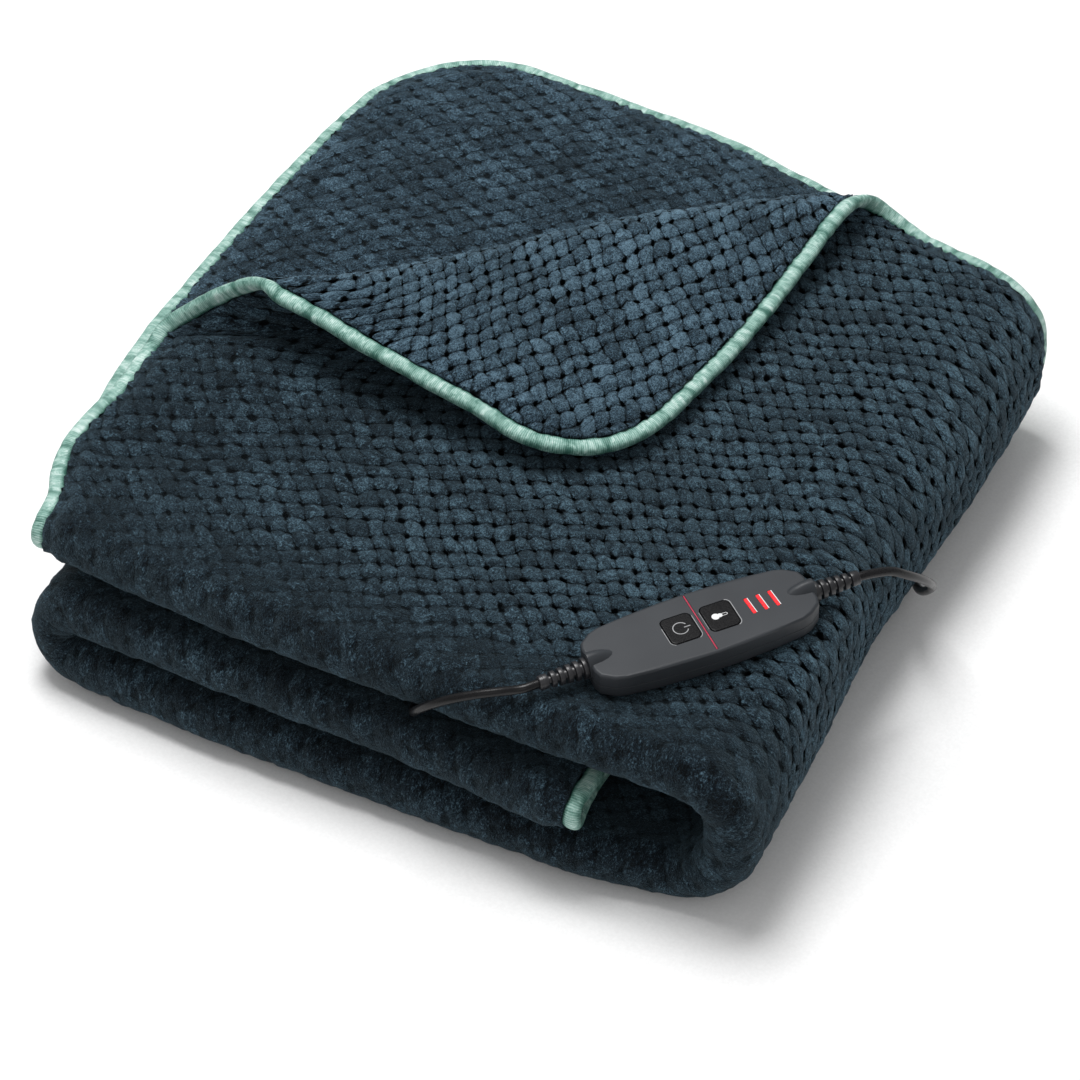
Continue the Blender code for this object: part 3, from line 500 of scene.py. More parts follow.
def pileFleece(name, look):
    # brushed polyester pile on a knitted ground: matt puffs with painted shade in the grooves, deeper painted
    # shade in the pits at their corners and painted light on their tops, and fine curled locks that break
    # every edge
    made, tree = newMaterial(name)
    flat = uvPlace(tree, "flat")
    definitionAndShade = storedValue(tree, "definitionAndShade")
    stray = mottle(tree, flat, look["strayBumps"], 3.0, output="Color")
    stray = vectors(tree, "SCALE", vectors(tree, "SUBTRACT", stray, (0.5, 0.5, 0.5)), Scale=look["uneven"])
    bent = vectors(tree, "ADD", uvPlace(tree, "tufts"), stray)
    parts = addNode(tree, "ShaderNodeSeparateXYZ", links={0: bent})
    toEdge = [maths(tree, "PINGPONG", parts.outputs[k], 0.5) for k in (0, 1)]
    cell = vectors(tree, "FLOOR", bent)
    corner = vectors(tree, "FLOOR", vectors(tree, "ADD", bent, (0.5, 0.5, 0)))
    tuftLuck, pitLuck = (addNode(tree, "ShaderNodeTexWhiteNoise", links={"Vector": at}).outputs["Value"]
                         for at in (cell, corner))
    rounded = [maths(tree, "SUBTRACT", 1.0, maths(tree, "POWER", maths(
        tree, "MULTIPLY_ADD", side, -2.0, 1.0), look["roundness"])) for side in toEdge]
    # each tuft's rounded top is painted lighter as a painted highlight, and raised in the bump
    crown = maths(tree, "MULTIPLY", maths(tree, "MULTIPLY", *rounded), definitionAndShade)
    far = maths(tree, "SQRT", maths(tree, "MULTIPLY_ADD", toEdge[0], toEdge[0], maths(
        tree, "MULTIPLY", toEdge[1], toEdge[1])))
    size = maths(tree, "MULTIPLY_ADD", pitLuck, look["pit"][1], look["pit"][0])
    pit = eased(tree, maths(tree, "DIVIDE", far, size), 0.5, 1.05, 1.0, 0.0)
    lock = mottle(tree, flat, look["lock"], 3.0, 0.75, 1.1)
    curl = mottle(tree, flat, look["curl"], 2.0, 0.6, 0.8)
    # painted sheen: broad patches lighter and darker, as the brushed pile catches the light
    brushed = mottle(tree, flat, look["patch"])
    broken = eased(tree, mottle(tree, flat, look["gaps"]), 0.36, 0.62, 0.35, 1.0)
    groove = eased(tree, maths(tree, "MINIMUM", *toEdge), 0.0, look["groove"], 1.0, 0.0)
    fade = eased(tree, far, 0.12, 0.42, 0.85, look["side"])
    grooveHollow = maths(tree, "MULTIPLY", maths(tree, "MULTIPLY", groove, fade), broken)
    # painted shade: the grooves and pits are darkened in the colour as shade falls there, and the same mask
    # sinks them in the bump
    hollow = maths(tree, "MULTIPLY", maths(tree, "MAXIMUM", grooveHollow, pit), definitionAndShade)
    spots = [(socket, share * look["contrast"]) for socket, share in (
        (lock, 2.0), (curl, 0.6), (brushed, 0.22), (tuftLuck, 0.2))]
    even = look["level"] - 0.5 * sum(share for socket, share in spots)
    # the pile is painted darker as shade where its tufts show less: on the front folds, the low runs and the
    # left side
    level = weighed(tree, even, *spots, (hollow, -1.05), (crown, 0.12), (definitionAndShade, 0.12))
    colour = colourRamp(tree, level, ((0.04, look["deep"]), (0.36, look["shade"]),
                                      (0.56, look["middle"]), (0.88, look["lit"])))
    high = weighed(tree, 0.0, (crown, 0.55), (hollow, -0.6), (lock, 0.62), (curl, 0.40))
    raised = maths(tree, "SUBTRACT", 1.0, hollow)  # no sheen or shine in the grooves and pits, to keep their painted shade dark
    finishMaterial(tree, {
        "Base Color": colour, "Roughness": 0.95, "Specular IOR Level": maths(tree, "MULTIPLY", raised, 0.12),
        "Sheen Weight": maths(tree, "MULTIPLY", raised, 0.27), "Sheen Roughness": 0.4,
        "Sheen Tint": linear("#9fc0d0"), "Normal": bumped(tree, 0.9, look["puff"], high)})
    return made


tapeLook = {
    "shade": "#3c6a5e", "middle": "#7da59a", "lit": "#a9c9c0", "bright": "#d3e2de",
    "rib": 0.0011,           # spacing of the satin's ribs across the tape
    # sizes of the painted highlight bands on the bulges, of the painted highlight streaks on the creases, and
    # of the threads
    "bulge": 0.0075, "crease": 0.0026, "thread": 0.0006,
    "level": 0.58,           # how light the whole tape is
}


def satinTape(name, look):
    # folded satin binding: fine ribs across it, painted highlights on its bulges and creases, painted shade
    # in its pinches and on its edges, and a hem line darkened partly as its own fold and partly as painted
    # shade
    made, tree = newMaterial(name)
    uv = uvPlace(tree, "flat")
    dark = storedValue(tree, "shade")
    ribs = addNode(tree, "ShaderNodeTexWave", {"wave_type": "BANDS", "bands_direction": "X"},
                   {"Vector": uv, "Scale": 0.314 / look["rib"], "Distortion": 1.6,
                    "Detail": 2.0, "Detail Scale": 0.8}).outputs["Fac"]
    along = addNode(tree, "ShaderNodeMapping", links={"Vector": uv, "Scale": (1.0, 0.25, 1.0)}).outputs[0]
    lean = addNode(tree, "ShaderNodeMapping", links={
        "Vector": uv, "Rotation": (0, 0, 0.6), "Scale": (1.0, 0.3, 1.0)}).outputs[0]
    bulgeHighlight = mottle(tree, along, look["bulge"])
    thread = mottle(tree, uv, look["thread"], 2.0, 0.6)
    crease = mottle(tree, lean, look["crease"], 3.0, 0.6, 0.8)
    # the bulge and crease noises lighten the colour as painted highlights; the crease noise also shapes the
    # bump
    spots = [(ribs, 0.22), (bulgeHighlight, 0.8), (thread, 0.5), (crease, 1.2)]
    even = look["level"] - 0.5 * sum(share for socket, share in spots)
    # painted shade from the stored shade: the pinches, the edges and the hem line are darkened
    level = weighed(tree, even, *spots, (dark, -0.6))
    colour = colourRamp(tree, level, ((0.08, look["shade"]), (0.46, look["middle"]),
                                      (0.70, look["lit"]), (0.92, look["bright"])))
    high = weighed(tree, 0.0, (ribs, 0.4), (thread, 0.4), (crease, 1.6))
    finishMaterial(tree, {
        "Base Color": colour, "Roughness": 0.48, "Specular IOR Level": 0.3,
        "Normal": bumped(tree, 0.7, 0.0006, high)})
    return made


def mouldedPlastic(name, dark, light, roughness, grain, grainSize, gloss=0.5):
    # spark-eroded mould texture: an even fine grain that breaks up the shine
    made, tree = newMaterial(name)
    colour = spotted(tree, 1 / 28, dark, light)[1]
    fine = mottle(tree, objectPlace(tree), grainSize)
    spread = addNode(tree, "ShaderNodeMapRange", links={
        "Value": fine, "From Min": 0.3, "From Max": 0.7,
        "To Min": roughness - 0.05, "To Max": roughness + 0.05})
    finishMaterial(tree, {
        "Base Color": colour, "Roughness": spread.outputs[0], "IOR": 1.5, "Specular IOR Level": gloss,
        "Normal": bumped(tree, grain, 0.0001, fine)})
    return made


def nickelPlate(name):  # nickel plated brass pins: bright, with faint drawing lines
    made, tree = newMaterial(name)
    scuff, colour = spotted(tree, 1 / 900, "#a8a49b", "#cfcbc2", 3.0)
    spread = addNode(tree, "ShaderNodeMapRange", links={"Value": scuff, "To Min": 0.18, "To Max": 0.34})
    finishMaterial(tree, {"Base Color": colour, "Metallic": 1.0, "Roughness": spread.outputs[0]})
    return made


def litLens(name, dark, light, glow, strength):  # translucent red light guide, faintly lit from inside
    made, tree = newMaterial(name)
    finishMaterial(tree, {
        "Base Color": spotted(tree, 1 / 400, dark, light, 1.0)[1], "Roughness": 0.3,
        "Emission Color": linear(glow), "Emission Strength": strength, "Coat Weight": 0.4})
    return made


faceFleece = pileFleece("honeycomb fleece, face", fleeceLook)
backFleece = pileFleece("honeycomb fleece, reverse", {
    **fleeceLook, "middle": "#2f4250", "lit": "#6a8799", "uneven": 0.28, "side": 0.16, "level": 0.37})
mintSatin = satinTape("mint satin tape", tapeLook)
housingAbs = mouldedPlastic("charcoal ABS, fine mould texture", "#2e3135", "#35383c", 0.44, 0.5, 0.0007, 0.24)
keyAbs = mouldedPlastic("black polycarbonate key, polished", "#0b0b0d", "#0f0f11", 0.28, 0.1, 0.001, 0.16)
reliefRubber = mouldedPlastic("black thermoplastic rubber", "#1b1b1e", "#252528", 0.34, 0.3, 0.0006)
leadSheath = mouldedPlastic("black PVC lead sheath", "#0c0c0e", "#131315", 0.30, 0.2, 0.0012, 0.28)
# the white and grey inks print the icons, and also draw the painted highlight lines on the key wells and
# beside the red bars
whiteInkAndGlint = mouldedPlastic("white pad print ink and painted glint", "#d9dadb", "#f2f2f2", 0.6, 0.2, 0.0005)
greyInkAndGlint = mouldedPlastic("grey pad print ink and painted glint", "#8d8e90", "#a2a3a5", 0.5, 0.2, 0.0005)
redLens = litLens("red acrylic light guide", "#e0000c", "#ff1020", "#ff0010", 0.75)
crimsonLens = litLens("crimson acrylic light guide", "#a51c40", "#c2274b", "#c2274b", 0.12)
pinNickel = nickelPlate("nickel plated brass")
print("materials made")

# camera

cameraView = {"azimuth": 26.1, "elevation": 44.6, "distance": 2.385, "fov": 15.0,
              "lookAt": (0.0337, -0.0836, 0.05)}


def aim(made, direction):
    made.rotation_euler = direction.to_track_quat("-Z", "Y").to_euler()


def addCamera(spec):
    azimuth, elevation = math.radians(spec["azimuth"]), math.radians(spec["elevation"])
    back = Vector((math.sin(azimuth) * math.cos(elevation), -math.cos(azimuth) * math.cos(elevation),
                   math.sin(elevation)))
    bpy.ops.object.camera_add(location=Vector(spec["lookAt"]) + back * spec["distance"])
    made = bpy.context.object
    aim(made, -back)
    made.data.sensor_width = 36.0
    made.data.lens = 18.0 / math.tan(math.radians(spec["fov"] / 2))
    made.data.clip_end = 50.0
    bpy.context.scene.camera = made


addCamera(cameraView)

# leads

leadSpec = {
    "diameter": 0.0052, "relief": 0.028, "reliefUp": 0.0106, "lip": 0.001, "gap": 0.0003,
    "coilAt": (0.030, 0.300), "coilMiddle": 0.0275, "turns": 7, "low": 0.0031, "spacing": 0.0052,
    "enters": -70, "leaves": 55,
    "plugAt": (-0.062, 0.2900), "plugBack": 0.018, "plugHigh": 0.0137,
}


def reliefTip(side, beyond=0.0):
    reach = controllerAt["half"] + leadSpec["lip"] + leadSpec["gap"] * 2 + leadSpec["relief"] + beyond
    return tuple(controllerMatrix() @ Vector((side * reach, 0, leadSpec["reliefUp"])))


def mixed(t, a, b, low, high):
    return ((high - t) * a + (t - low) * b) / (high - low)


def smoothRoute(points, spacing=0.0024):  # evenly spaced points on one smooth curve through the given ones
    points = np.array([tuple(p) for p in points], float)
    ends = np.vstack([2 * points[0] - points[1], points, 2 * points[-1] - points[-2]])
    knots = np.concatenate([[0], np.cumsum(np.linalg.norm(np.diff(ends, axis=0), axis=1) ** 0.5)])
    fine = []
    for k in range(1, len(ends) - 2):
        p, at = ends[k - 1:k + 3], knots[k - 1:k + 3]
        for t in np.linspace(at[1], at[2], 24, endpoint=False):
            a = [mixed(t, p[i], p[i + 1], at[i], at[i + 1]) for i in range(3)]
            b = [mixed(t, a[i], a[i + 1], at[i], at[i + 2]) for i in range(2)]
            fine.append(mixed(t, b[0], b[1], at[1], at[2]))
    fine = np.array(fine + [points[-1]])
    length = lengthAlong(fine)
    even = np.linspace(0, length[-1], max(2, round(length[-1] / spacing)) + 1)
    return np.stack([np.interp(even, length, fine[:, k]) for k in range(3)], -1)


def routeLength(points):
    return float(lengthAlong(points)[-1])


blanketRoute = [reliefTip(-1), reliefTip(-1, 0.009), (0.0790, -0.2205, 0.1110), (0.0655, -0.2260, 0.1074),
                (0.0520, -0.2307, 0.1018), (0.0405, -0.2320, 0.0932), (0.0310, -0.2300, 0.0826),
                (0.0255, -0.2240, 0.0735), (0.0225, -0.2150, 0.0705), (0.0210, -0.2000, 0.0704),
                (0.0200, -0.1600, 0.0704), (0.0200, -0.1000, 0.0704)]


def besideCoil(degrees, beyond):  # a place on the surface in line with where the lead enters the coil
    angle = math.radians(degrees)
    radius = leadSpec["coilMiddle"] + 2 * leadSpec["diameter"] + leadSpec["gap"]
    return (leadSpec["coilAt"][0] + radius * math.cos(angle) - beyond * math.sin(angle),
            leadSpec["coilAt"][1] + radius * math.sin(angle) + beyond * math.cos(angle), leadSpec["low"])


low = leadSpec["low"]
mainsRoute = [reliefTip(1), reliefTip(1, 0.003), (0.2330, -0.0475, 0.1150), (0.2395, -0.0385, 0.1070),
              (0.2440, -0.0280, 0.0965), (0.2460, -0.0165, 0.0835), (0.2440, -0.0045, 0.0690),
              (0.2375, 0.0080, 0.0520), (0.2285, 0.0235, 0.0330), (0.2190, 0.0420, 0.0162),
              (0.2115, 0.0600, 0.0072),
              (0.2070, 0.0820, low), (0.2060, 0.1200, low), (0.2060, 0.1600, low),
              (0.2050, 0.1950, low), (0.1980, 0.2250, low), (0.1800, 0.2480, low),
              (0.1500, 0.2590, low), (0.1150, 0.2600, low), besideCoil(leadSpec["enters"], 0.020)]
plugBackX = leadSpec["plugAt"][0] + leadSpec["plugBack"] + leadSpec["gap"]
plugMiddle = leadSpec["plugHigh"] / 2
plugRoute = [(-0.0096, 0.2748, 0.0038), (-0.0205, 0.2848, 0.0054), (-0.0318, 0.2896, plugMiddle),
             (plugBackX, leadSpec["plugAt"][1], plugMiddle)]


def coilTurns():  # three turns wound inward, three on them outward, and one on top that drops off outside
    step, middle, turns = leadSpec["spacing"], leadSpec["coilMiddle"], leadSpec["turns"]
    outside = middle + 2 * leadSpec["diameter"] + leadSpec["gap"]
    outer, inner = middle + step, middle - step
    radii = np.array([outside, outer, middle, inner, inner, middle, outer, outer])
    layers = np.array([0, 0, 0, 0, 1, 1, 1, 2])
    total = turns * 360 + leadSpec["leaves"]
    start = turns * 360 - 100  # here the last turn begins to drop off
    gone = np.arange(0, total + 0.1, 9.0)
    turn = np.minimum(gone // 360, turns - 1).astype(int)
    part = gone - turn * 360
    radius = radii[turn] + (radii[turn + 1] - radii[turn]) * np.minimum(part / 360, 1.0)
    radius += (outside + step - outer) * smoothStep(start, start + 130, gone)
    high = low + step * (layers[turn] + (layers[turn + 1] - layers[turn]) * smoothStep(0, 120, part))
    high += (low - high) * smoothStep(start + 50, total, gone)
    angle = np.radians(leadSpec["enters"] - gone)
    x, y = leadSpec["coilAt"]
    return list(np.stack([x + radius * np.cos(angle), y + radius * np.sin(angle), high], -1))


def shifted(points):
    return [tuple(np.array(p) + np.array(fold["shift"])) for p in points]


def addCord(name, points, *nodeNames):
    made = polyCurve(points, leadSpec["diameter"])
    made.name = made.data.name = name
    made.data.bevel_resolution = 5
    dress(made, leadSheath, "lead_sheath", *nodeNames)
    return made


blanketPath = smoothRoute(shifted(blanketRoute))
mainsPath = smoothRoute(shifted(mainsRoute + coilTurns() + plugRoute))
blanketLead = addCord("lead_to_blanket", blanketPath, "blanket_lead")
mainsLead = addCord("lead_to_mains", mainsPath, "mains_lead", "plug_lead", "lead_coil")
print("leads laid:", round(routeLength(blanketPath), 3), "m and", round(routeLength(mainsPath), 3), "m")

# cloth

clothSpec = {
    "cells": (74, 52),       # coarse cells along the roll and across it
    "cuts": 7,               # each coarse cell is cut in eight where the cloth shows
    # the knit's slanted lattice: from one tuft to the next, and to the one in the next row
    "tuftAlong": (0.0094, 0.0046),
    "tuftAcross": (0.0073, -0.0089),
    "skin": 0.0072,          # from the middle of the cloth to the top of the pile
    "rim": 0.0046,           # the same at the bound rim
    "hidden": 0.0004,        # how much lower the pile is where it isn't seen
    "crown": 0.0006,         # how much higher one tuft may be than another
    "groove": 0.0013,        # depth of the grooves between them
    "pit": 0.0014,           # and of the pits at their corners, more
    "rough": 0.0005,         # loose lumps of pile over all that
    "stray": 0.0021,         # how far a tuft's corners stray from the lattice
    "lean": (0.0016, 0.0013),    # how far the pile at the rim leans out, and how unevenly
    "inner": 0.0002,         # from the middle of the cloth to the skin's hidden side
    "jitter": 0.0003, "drift": 0.0010,    # how far grid points stray, singly and together
    "ragged": 0.0006, "slow": 0.0005,     # unevenness of the pile near the rim, and of the whole cloth
}


def faceZone(u, v):  # where the face shows: the top and right side, the front fold, the left side
    hidden = (v > 0) & (pastCrease(u, v) > 0.062) & (u < uRight)
    top = (v > -0.045) & (u < uLow - 0.020) & ~hidden
    front = (np.abs(v) < 0.046)
    leftSide = (u > uLeft - 0.006) & (u < uMid + 0.012) & (v > 0)
    return top | front | leftSide


def backZone(u, v):  # where the reverse shows: the turned corner, and the sheet that it uncovers
    return (pastCrease(u, np.abs(v)) > -0.034) & (u < uRight + 0.03)


def knitPlace(u, v, seed):  # the place in the knit's lattice, one unit to a tuft
    (ax, ay), (bx, by) = clothSpec["tuftAlong"], clothSpec["tuftAcross"]
    size = ax * by - ay * bx
    u = u + 0.0018 * wander(u, v, 0.11, seed)
    v = v + 0.0018 * wander(u, v, 0.13, seed + 2)
    u = u + clothSpec["stray"] * lumps(u, v, 0.0088, seed + 20.0)
    v = v + clothSpec["stray"] * lumps(u, v, 0.0088, seed + 21.0)
    return (u * by - v * bx) / size, (ax * v - ay * u) / size


def tuftHeight(p, q, seed):
    toCorner = np.hypot(p - np.rint(p), q - np.rint(q))
    broken = (0.75 + 0.25 * lumps(p, q, 0.9, seed + 8.0)) * (0.35 + 0.65 * np.exp(-(toCorner / 0.30) ** 2))
    dome = (1 - np.abs(2 * np.mod(p, 1) - 1) ** 2.6) * (1 - np.abs(2 * np.mod(q, 1) - 1) ** 2.6)
    luck = chance(np.floor(p), np.floor(q), seed)
    hole = chance(np.rint(p), np.rint(q), seed + 3.0)
    return (clothSpec["crown"] * luck * dome - clothSpec["groove"] * (1 - dome) * broken
            - clothSpec["pit"] * hole * np.exp(-(toCorner / 0.18) ** 2))


def definitionAndShadeAt(v, where):  # how clearly the tufts show, and how much painted shade the pile gets: the front folds, the low runs and the left side are brushed flat and painted darker
    front = 1 - smoothStep(0.020, 0.085, np.abs(v))
    low = 1 - smoothStep(0.055, 0.085, where[:, 2])
    leftSide = (1 - smoothStep(-0.17, 0.02, where[:, 0])) * (1 - smoothStep(-0.10, 0.0, where[:, 1]))
    right = smoothStep(0.16, 0.24, where[:, 0])
    # painted shade: the front folds and the low runs are brushed flat and also painted darker
    flatAndShaded = np.maximum(0.75 * front, 0.62 * low * (1 - right))
    return np.clip(1 - np.maximum(flatAndShaded, 0.5 * leftSide), 0, 1)


def rimOutward(u, v):  # the way out of the cloth at its rim
    probe = 0.004
    gx = np.sign(u - long / 2) * np.maximum(np.abs(u - long / 2) - (long / 2 - fold["corner"]), 0)
    gy = np.sign(v) * np.maximum(np.abs(v) - (wide - fold["corner"]), 0)
    size = np.maximum(np.hypot(gx, gy), 1e-9)
    return unit(place(u, v) - place(u - gx / size * probe, v - gy / size * probe))


def cutFlatCloth(name, zone):  # a flat box of cells, fine where its skin shows, its corners in u, v, skin
    nu, nv = clothSpec["cells"]
    piece = addGrid(name, nu, nv)
    modify(piece, "SOLIDIFY", thickness=1.0, offset=1.0)
    flat = placesOf(piece.data.vertices, "co")
    flat = np.stack([(flat[:, 0] + 1) / 2 * long, flat[:, 1] * wide, flat[:, 2] > 0.5], -1)
    setPlaces(piece.data, flat)
    middle = placesOf(piece.data.polygons, "center")
    selectFaces(piece, zone(middle[:, 0], middle[:, 1]) & (middle[:, 2] > 0.9))
    bpy.ops.mesh.subdivide(number_cuts=clothSpec["cuts"])
    bpy.ops.object.mode_set(mode="OBJECT")
    flat = placesOf(piece.data.vertices, "co")
    return piece, flat[:, 0], flat[:, 1], flat[:, 2] > 0.5


def besideZone(u, v, zone, cellU, cellV, cut):  # grid points with a fine cell beside them
    near = np.zeros(len(u), bool)
    for du, dv in ((-0.3, -0.3), (0.3, -0.3), (-0.3, 0.3), (0.3, 0.3)):
        cu = (np.floor((u + du * cellU / cut) / cellU) + 0.5) * cellU
        cv = (np.floor((v + dv * cellV / cut + wide) / cellV) + 0.5) * cellV - wide
        near |= zone(cu, cv)
    return near


def addSheet(name, way, zone, seed, finish):
    piece, u, v, skin = cutFlatCloth(name, zone)
    cellU, cellV = long / clothSpec["cells"][0], 2 * wide / clothSpec["cells"][1]
    cut = clothSpec["cuts"] + 1
    near = besideZone(u, v, zone, cellU, cellV, cut) & skin
    column, row = np.round(u / (cellU / cut)), np.round(v / (cellV / cut))

    def luck(number):  # from -1 to 1 for each grid point
        return 2 * chance(column, row, seed + number) - 1

    ru, rv = roundCorner(u, v)
    p, q = knitPlace(ru, rv, 1.0)
    definitionAndShade = definitionAndShadeAt(rv, place(ru, rv)) if way > 0 else np.where(v > 0, 1.0, 0.42)
    loose = lumps(ru, rv, 0.0068, seed + 11.0) + 0.8 * lumps(ru, rv, 0.0031, seed + 12.0)
    tufts = tuftHeight(p, q, seed) * (0.3 + 0.7 * definitionAndShade)
    height = np.where(near, tufts + clothSpec["rough"] * loose, -clothSpec["hidden"])
    toRim = rimDistance(ru, rv)
    inside = smoothStep(0.0, 0.004, toRim) * near
    jitter, drift = clothSpec["jitter"], clothSpec["drift"]
    ju = ru + inside * (jitter * luck(1.0) + drift * wander(u, v, 0.045, seed))
    jv = rv + inside * (jitter * luck(2.0) + drift * wander(u, v, 0.055, seed + 4))
    full = clothSpec["rim"] + (clothSpec["skin"] - clothSpec["rim"]) * smoothStep(0.0, 0.011, toRim)
    slow = clothSpec["slow"] * wander(u, v, 0.07, seed + 9) * smoothStep(0.0, 0.02, toRim)
    ragged = clothSpec["ragged"] * luck(5.0) * smoothStep(0.008, 0.0, toRim)
    lift = np.where(skin, full + height * smoothStep(0.0, 0.006, toRim) + slow + ragged, clothSpec["inner"])
    where = place(ju, jv) + way * clothNormal(ru, rv) * lift[:, None]
    lean = clothSpec["lean"][0] + clothSpec["lean"][1] * luck(6.0)
    where = where + rimOutward(ru, rv) * np.where(skin & (toRim < 0.0002), lean, 0)[:, None]
    where[:, 2] = np.maximum(where[:, 2], 0.0002)
    setPlaces(piece.data, where)
    piece.data.uv_layers[0].name = "flat"
    storeMap(piece.data, piece.data.uv_layers[0], [u, v])
    storeMap(piece.data, piece.data.uv_layers.new(name="tufts"), [p, q])
    storeValue(piece.data, "definitionAndShade", definitionAndShade)
    if way < 0:
        editWhole(piece, (bpy.ops.mesh.flip_normals, {}))
    smoothShade(piece)
    dress(piece, finish, "pile_fleece", "blanket_cloth")
    print(name, "made,", sum(len(p.vertices) - 2 for p in piece.data.polygons), "triangles")
    return piece


clothFace = addSheet("blanket_face", 1.0, faceZone, 1.0, faceFleece)
clothBack = addSheet("blanket_reverse", -1.0, backZone, 2.0, backFleece)

# binding

bindingSpec = {
    "out": 0.0050, "up": 0.0038,     # half of its width and of its thickness
    "offset": 0.0008,                # its inner side from the cloth's rim
    "spacing": 0.0018, "sides": 20,
    "pucker": 0.021,                 # mean distance between pinches
    "power": 0.86,                   # under 1: a little squarer than an ellipse
}


def rimPoints(spacing):  # the cloth's outline in flat coordinates, in order, with its direction outward
    radius = fold["corner"]
    a, b = long / 2 - radius, wide - radius
    middles = np.array([(a, b), (-a, b), (-a, -b), (a, -b)])
    points, outward = [], []
    for k in range(4):
        angles = np.radians(np.linspace(90 * k, 90 * k + 90, round(radius * math.pi / 2 / spacing) + 1))
        bend = np.stack([np.cos(angles), np.sin(angles)], -1)
        reach = middles[(k + 1) % 4] - middles[k]
        t = np.linspace(0, 1, round(np.linalg.norm(reach) / spacing) + 1)[1:-1, None]
        points += [middles[k] + radius * bend, middles[k] + reach * t + radius * bend[-1]]
        outward += [bend, np.repeat(bend[-1:], len(t), 0)]
    return np.concatenate(points) + (long / 2, 0), np.concatenate(outward)


def pinchAlong(length, spacing):  # the tape is pinched at uneven places
    pinch = np.zeros(len(length))
    for k in range(int(length[-1] / spacing)):
        middle = (k + 0.5 + 0.7 * (chance(k, 3.0, 7.0) - 0.5)) * spacing
        width = 0.0016 + 0.0016 * chance(k, 5.0, 7.0)
        pinch += (0.35 + 0.65 * chance(k, 9.0, 7.0)) * np.exp(-((length - middle) / width) ** 2)
    return pinch


def addBinding(name, spec, finish):
    points, outward = rimPoints(spec["spacing"])
    count, sides = len(points), spec["sides"]
    atRim = place(points[:, 0], points[:, 1])
    inner = points - outward * 0.003
    out = atRim - place(inner[:, 0], inner[:, 1])
    ahead = unit(np.roll(atRim, -1, 0) - np.roll(atRim, 1, 0))
    out = unit(out - ahead * np.sum(out * ahead, axis=1)[:, None])
    up = np.cross(out, ahead)
    length = lengthAlong(atRim)
    pinch = pinchAlong(length, spec["pucker"])
    centre = atRim + out * (spec["out"] + spec["offset"])
    sway = 0.0003 * np.sin(length / 0.0083) + 0.0004 * wander(length, length * 0.3, 0.05, 3.0)
    piece = addGrid(name, sides, count)
    grid = placesOf(piece.data.vertices, "co")
    station = np.rint((grid[:, 1] + 1) / 2 * count).astype(int)
    turn = np.rint((grid[:, 0] + 1) / 2 * sides)
    ring = station % count
    angle = 2 * math.pi * (turn % sides) / sides
    bulge = 1 - 0.085 * pinch[ring] + 0.02 * np.sin(length[ring] / 0.0041)
    cosine, sine = (np.sign(wave) * np.abs(wave) ** spec["power"] for wave in (np.cos(angle), np.sin(angle)))
    ripple = np.sin(length / 0.0031) + 0.8 * np.sin(length / 0.0019 + 1.0)
    hemmed = np.exp(-((np.abs(np.mod(angle, 2 * math.pi) - math.pi) - 0.75) / 0.22) ** 2)
    hem = hemmed * (0.00045 * ripple[ring] - 0.0007)
    where = (centre[ring] + out[ring] * (cosine * spec["out"] * bulge + sway[ring] + hem)[:, None]
             + up[ring] * (sine * spec["up"] * bulge)[:, None])
    setPlaces(piece.data, where)
    piece.data.uv_layers[0].name = "flat"
    run = np.append(length, length[-1] + spec["spacing"])[station]
    storeMap(piece.data, piece.data.uv_layers[0], [run, turn * 0.002])
    # painted shade for the tape's colour: in the pinches, on the outer edge and on the side against the
    # cloth, and along the hem line, which is partly its own darker fold and partly painted shade
    outerEdge = np.clip(cosine, 0, 1) ** 4
    dark = np.maximum(0.75 * pinch[ring], hemmed * 1.3) + 0.45 * outerEdge + 0.5 * (cosine < -0.9)
    storeValue(piece.data, "shade", np.clip(dark, 0, 1.4))
    editWhole(piece, (bpy.ops.mesh.remove_doubles, {"threshold": 0.000001}),
              (bpy.ops.mesh.normals_make_consistent, {"inside": False}))
    smoothShade(piece)
    dress(piece, finish, "satin_tape", "edge_binding")
    print(name, "made,", len(piece.data.polygons) * 2, "triangles")
    return piece


binding = addBinding("satin_binding", bindingSpec, mintSatin)

# controller, reliefs, plug

mouldedParts = (  # finish, slot, edge radius, nodes
    (housingAbs, "housing_plastic", 0.0003, ("controller_base", "controller_cover")),
    (keyAbs, "key_pad", 0.0003, ("key_power", "key_heat")),
    (reliefRubber, "relief_rubber", 0.0004, ("mains_plug",)),
    (pinNickel, "pin_metal", 0.0003, ("plug_pin_1", "plug_pin_2")),
    (redLens, "red_lens", 0.0001, ("indicator_1", "indicator_2", "indicator_3")),
    (crimsonLens, "red_lens", 0.0001, ("divider_line",)),
)
keyBodies = {"key_power": "power_key", "key_heat": "heat_key"}


def addFinished(nodeName, finish, slotName, radius):  # a copy of the moulded part with softened edges
    pick(nodes[nodeName])
    bpy.ops.object.duplicate()
    piece = bpy.context.object
    piece.name = piece.data.name = nodeName + "_finished"
    editWhole(piece, (bpy.ops.mesh.remove_doubles, {"threshold": 0.00001}),
              (bpy.ops.mesh.dissolve_limited, {"angle_limit": math.radians(2)}))
    softenEdges(piece, radius, 32)
    smoothShade(piece, 50)
    modify(piece, "WEIGHTED_NORMAL", weight=90, keep_sharp=True)
    dress(piece, finish, slotName, nodeName, body=keyBodies.get(nodeName, "blanket"))
    return piece


finishedPiece = {name: addFinished(name, *look) for *look, names in mouldedParts for name in names}
print("moulded parts finished:", len(finishedPiece))

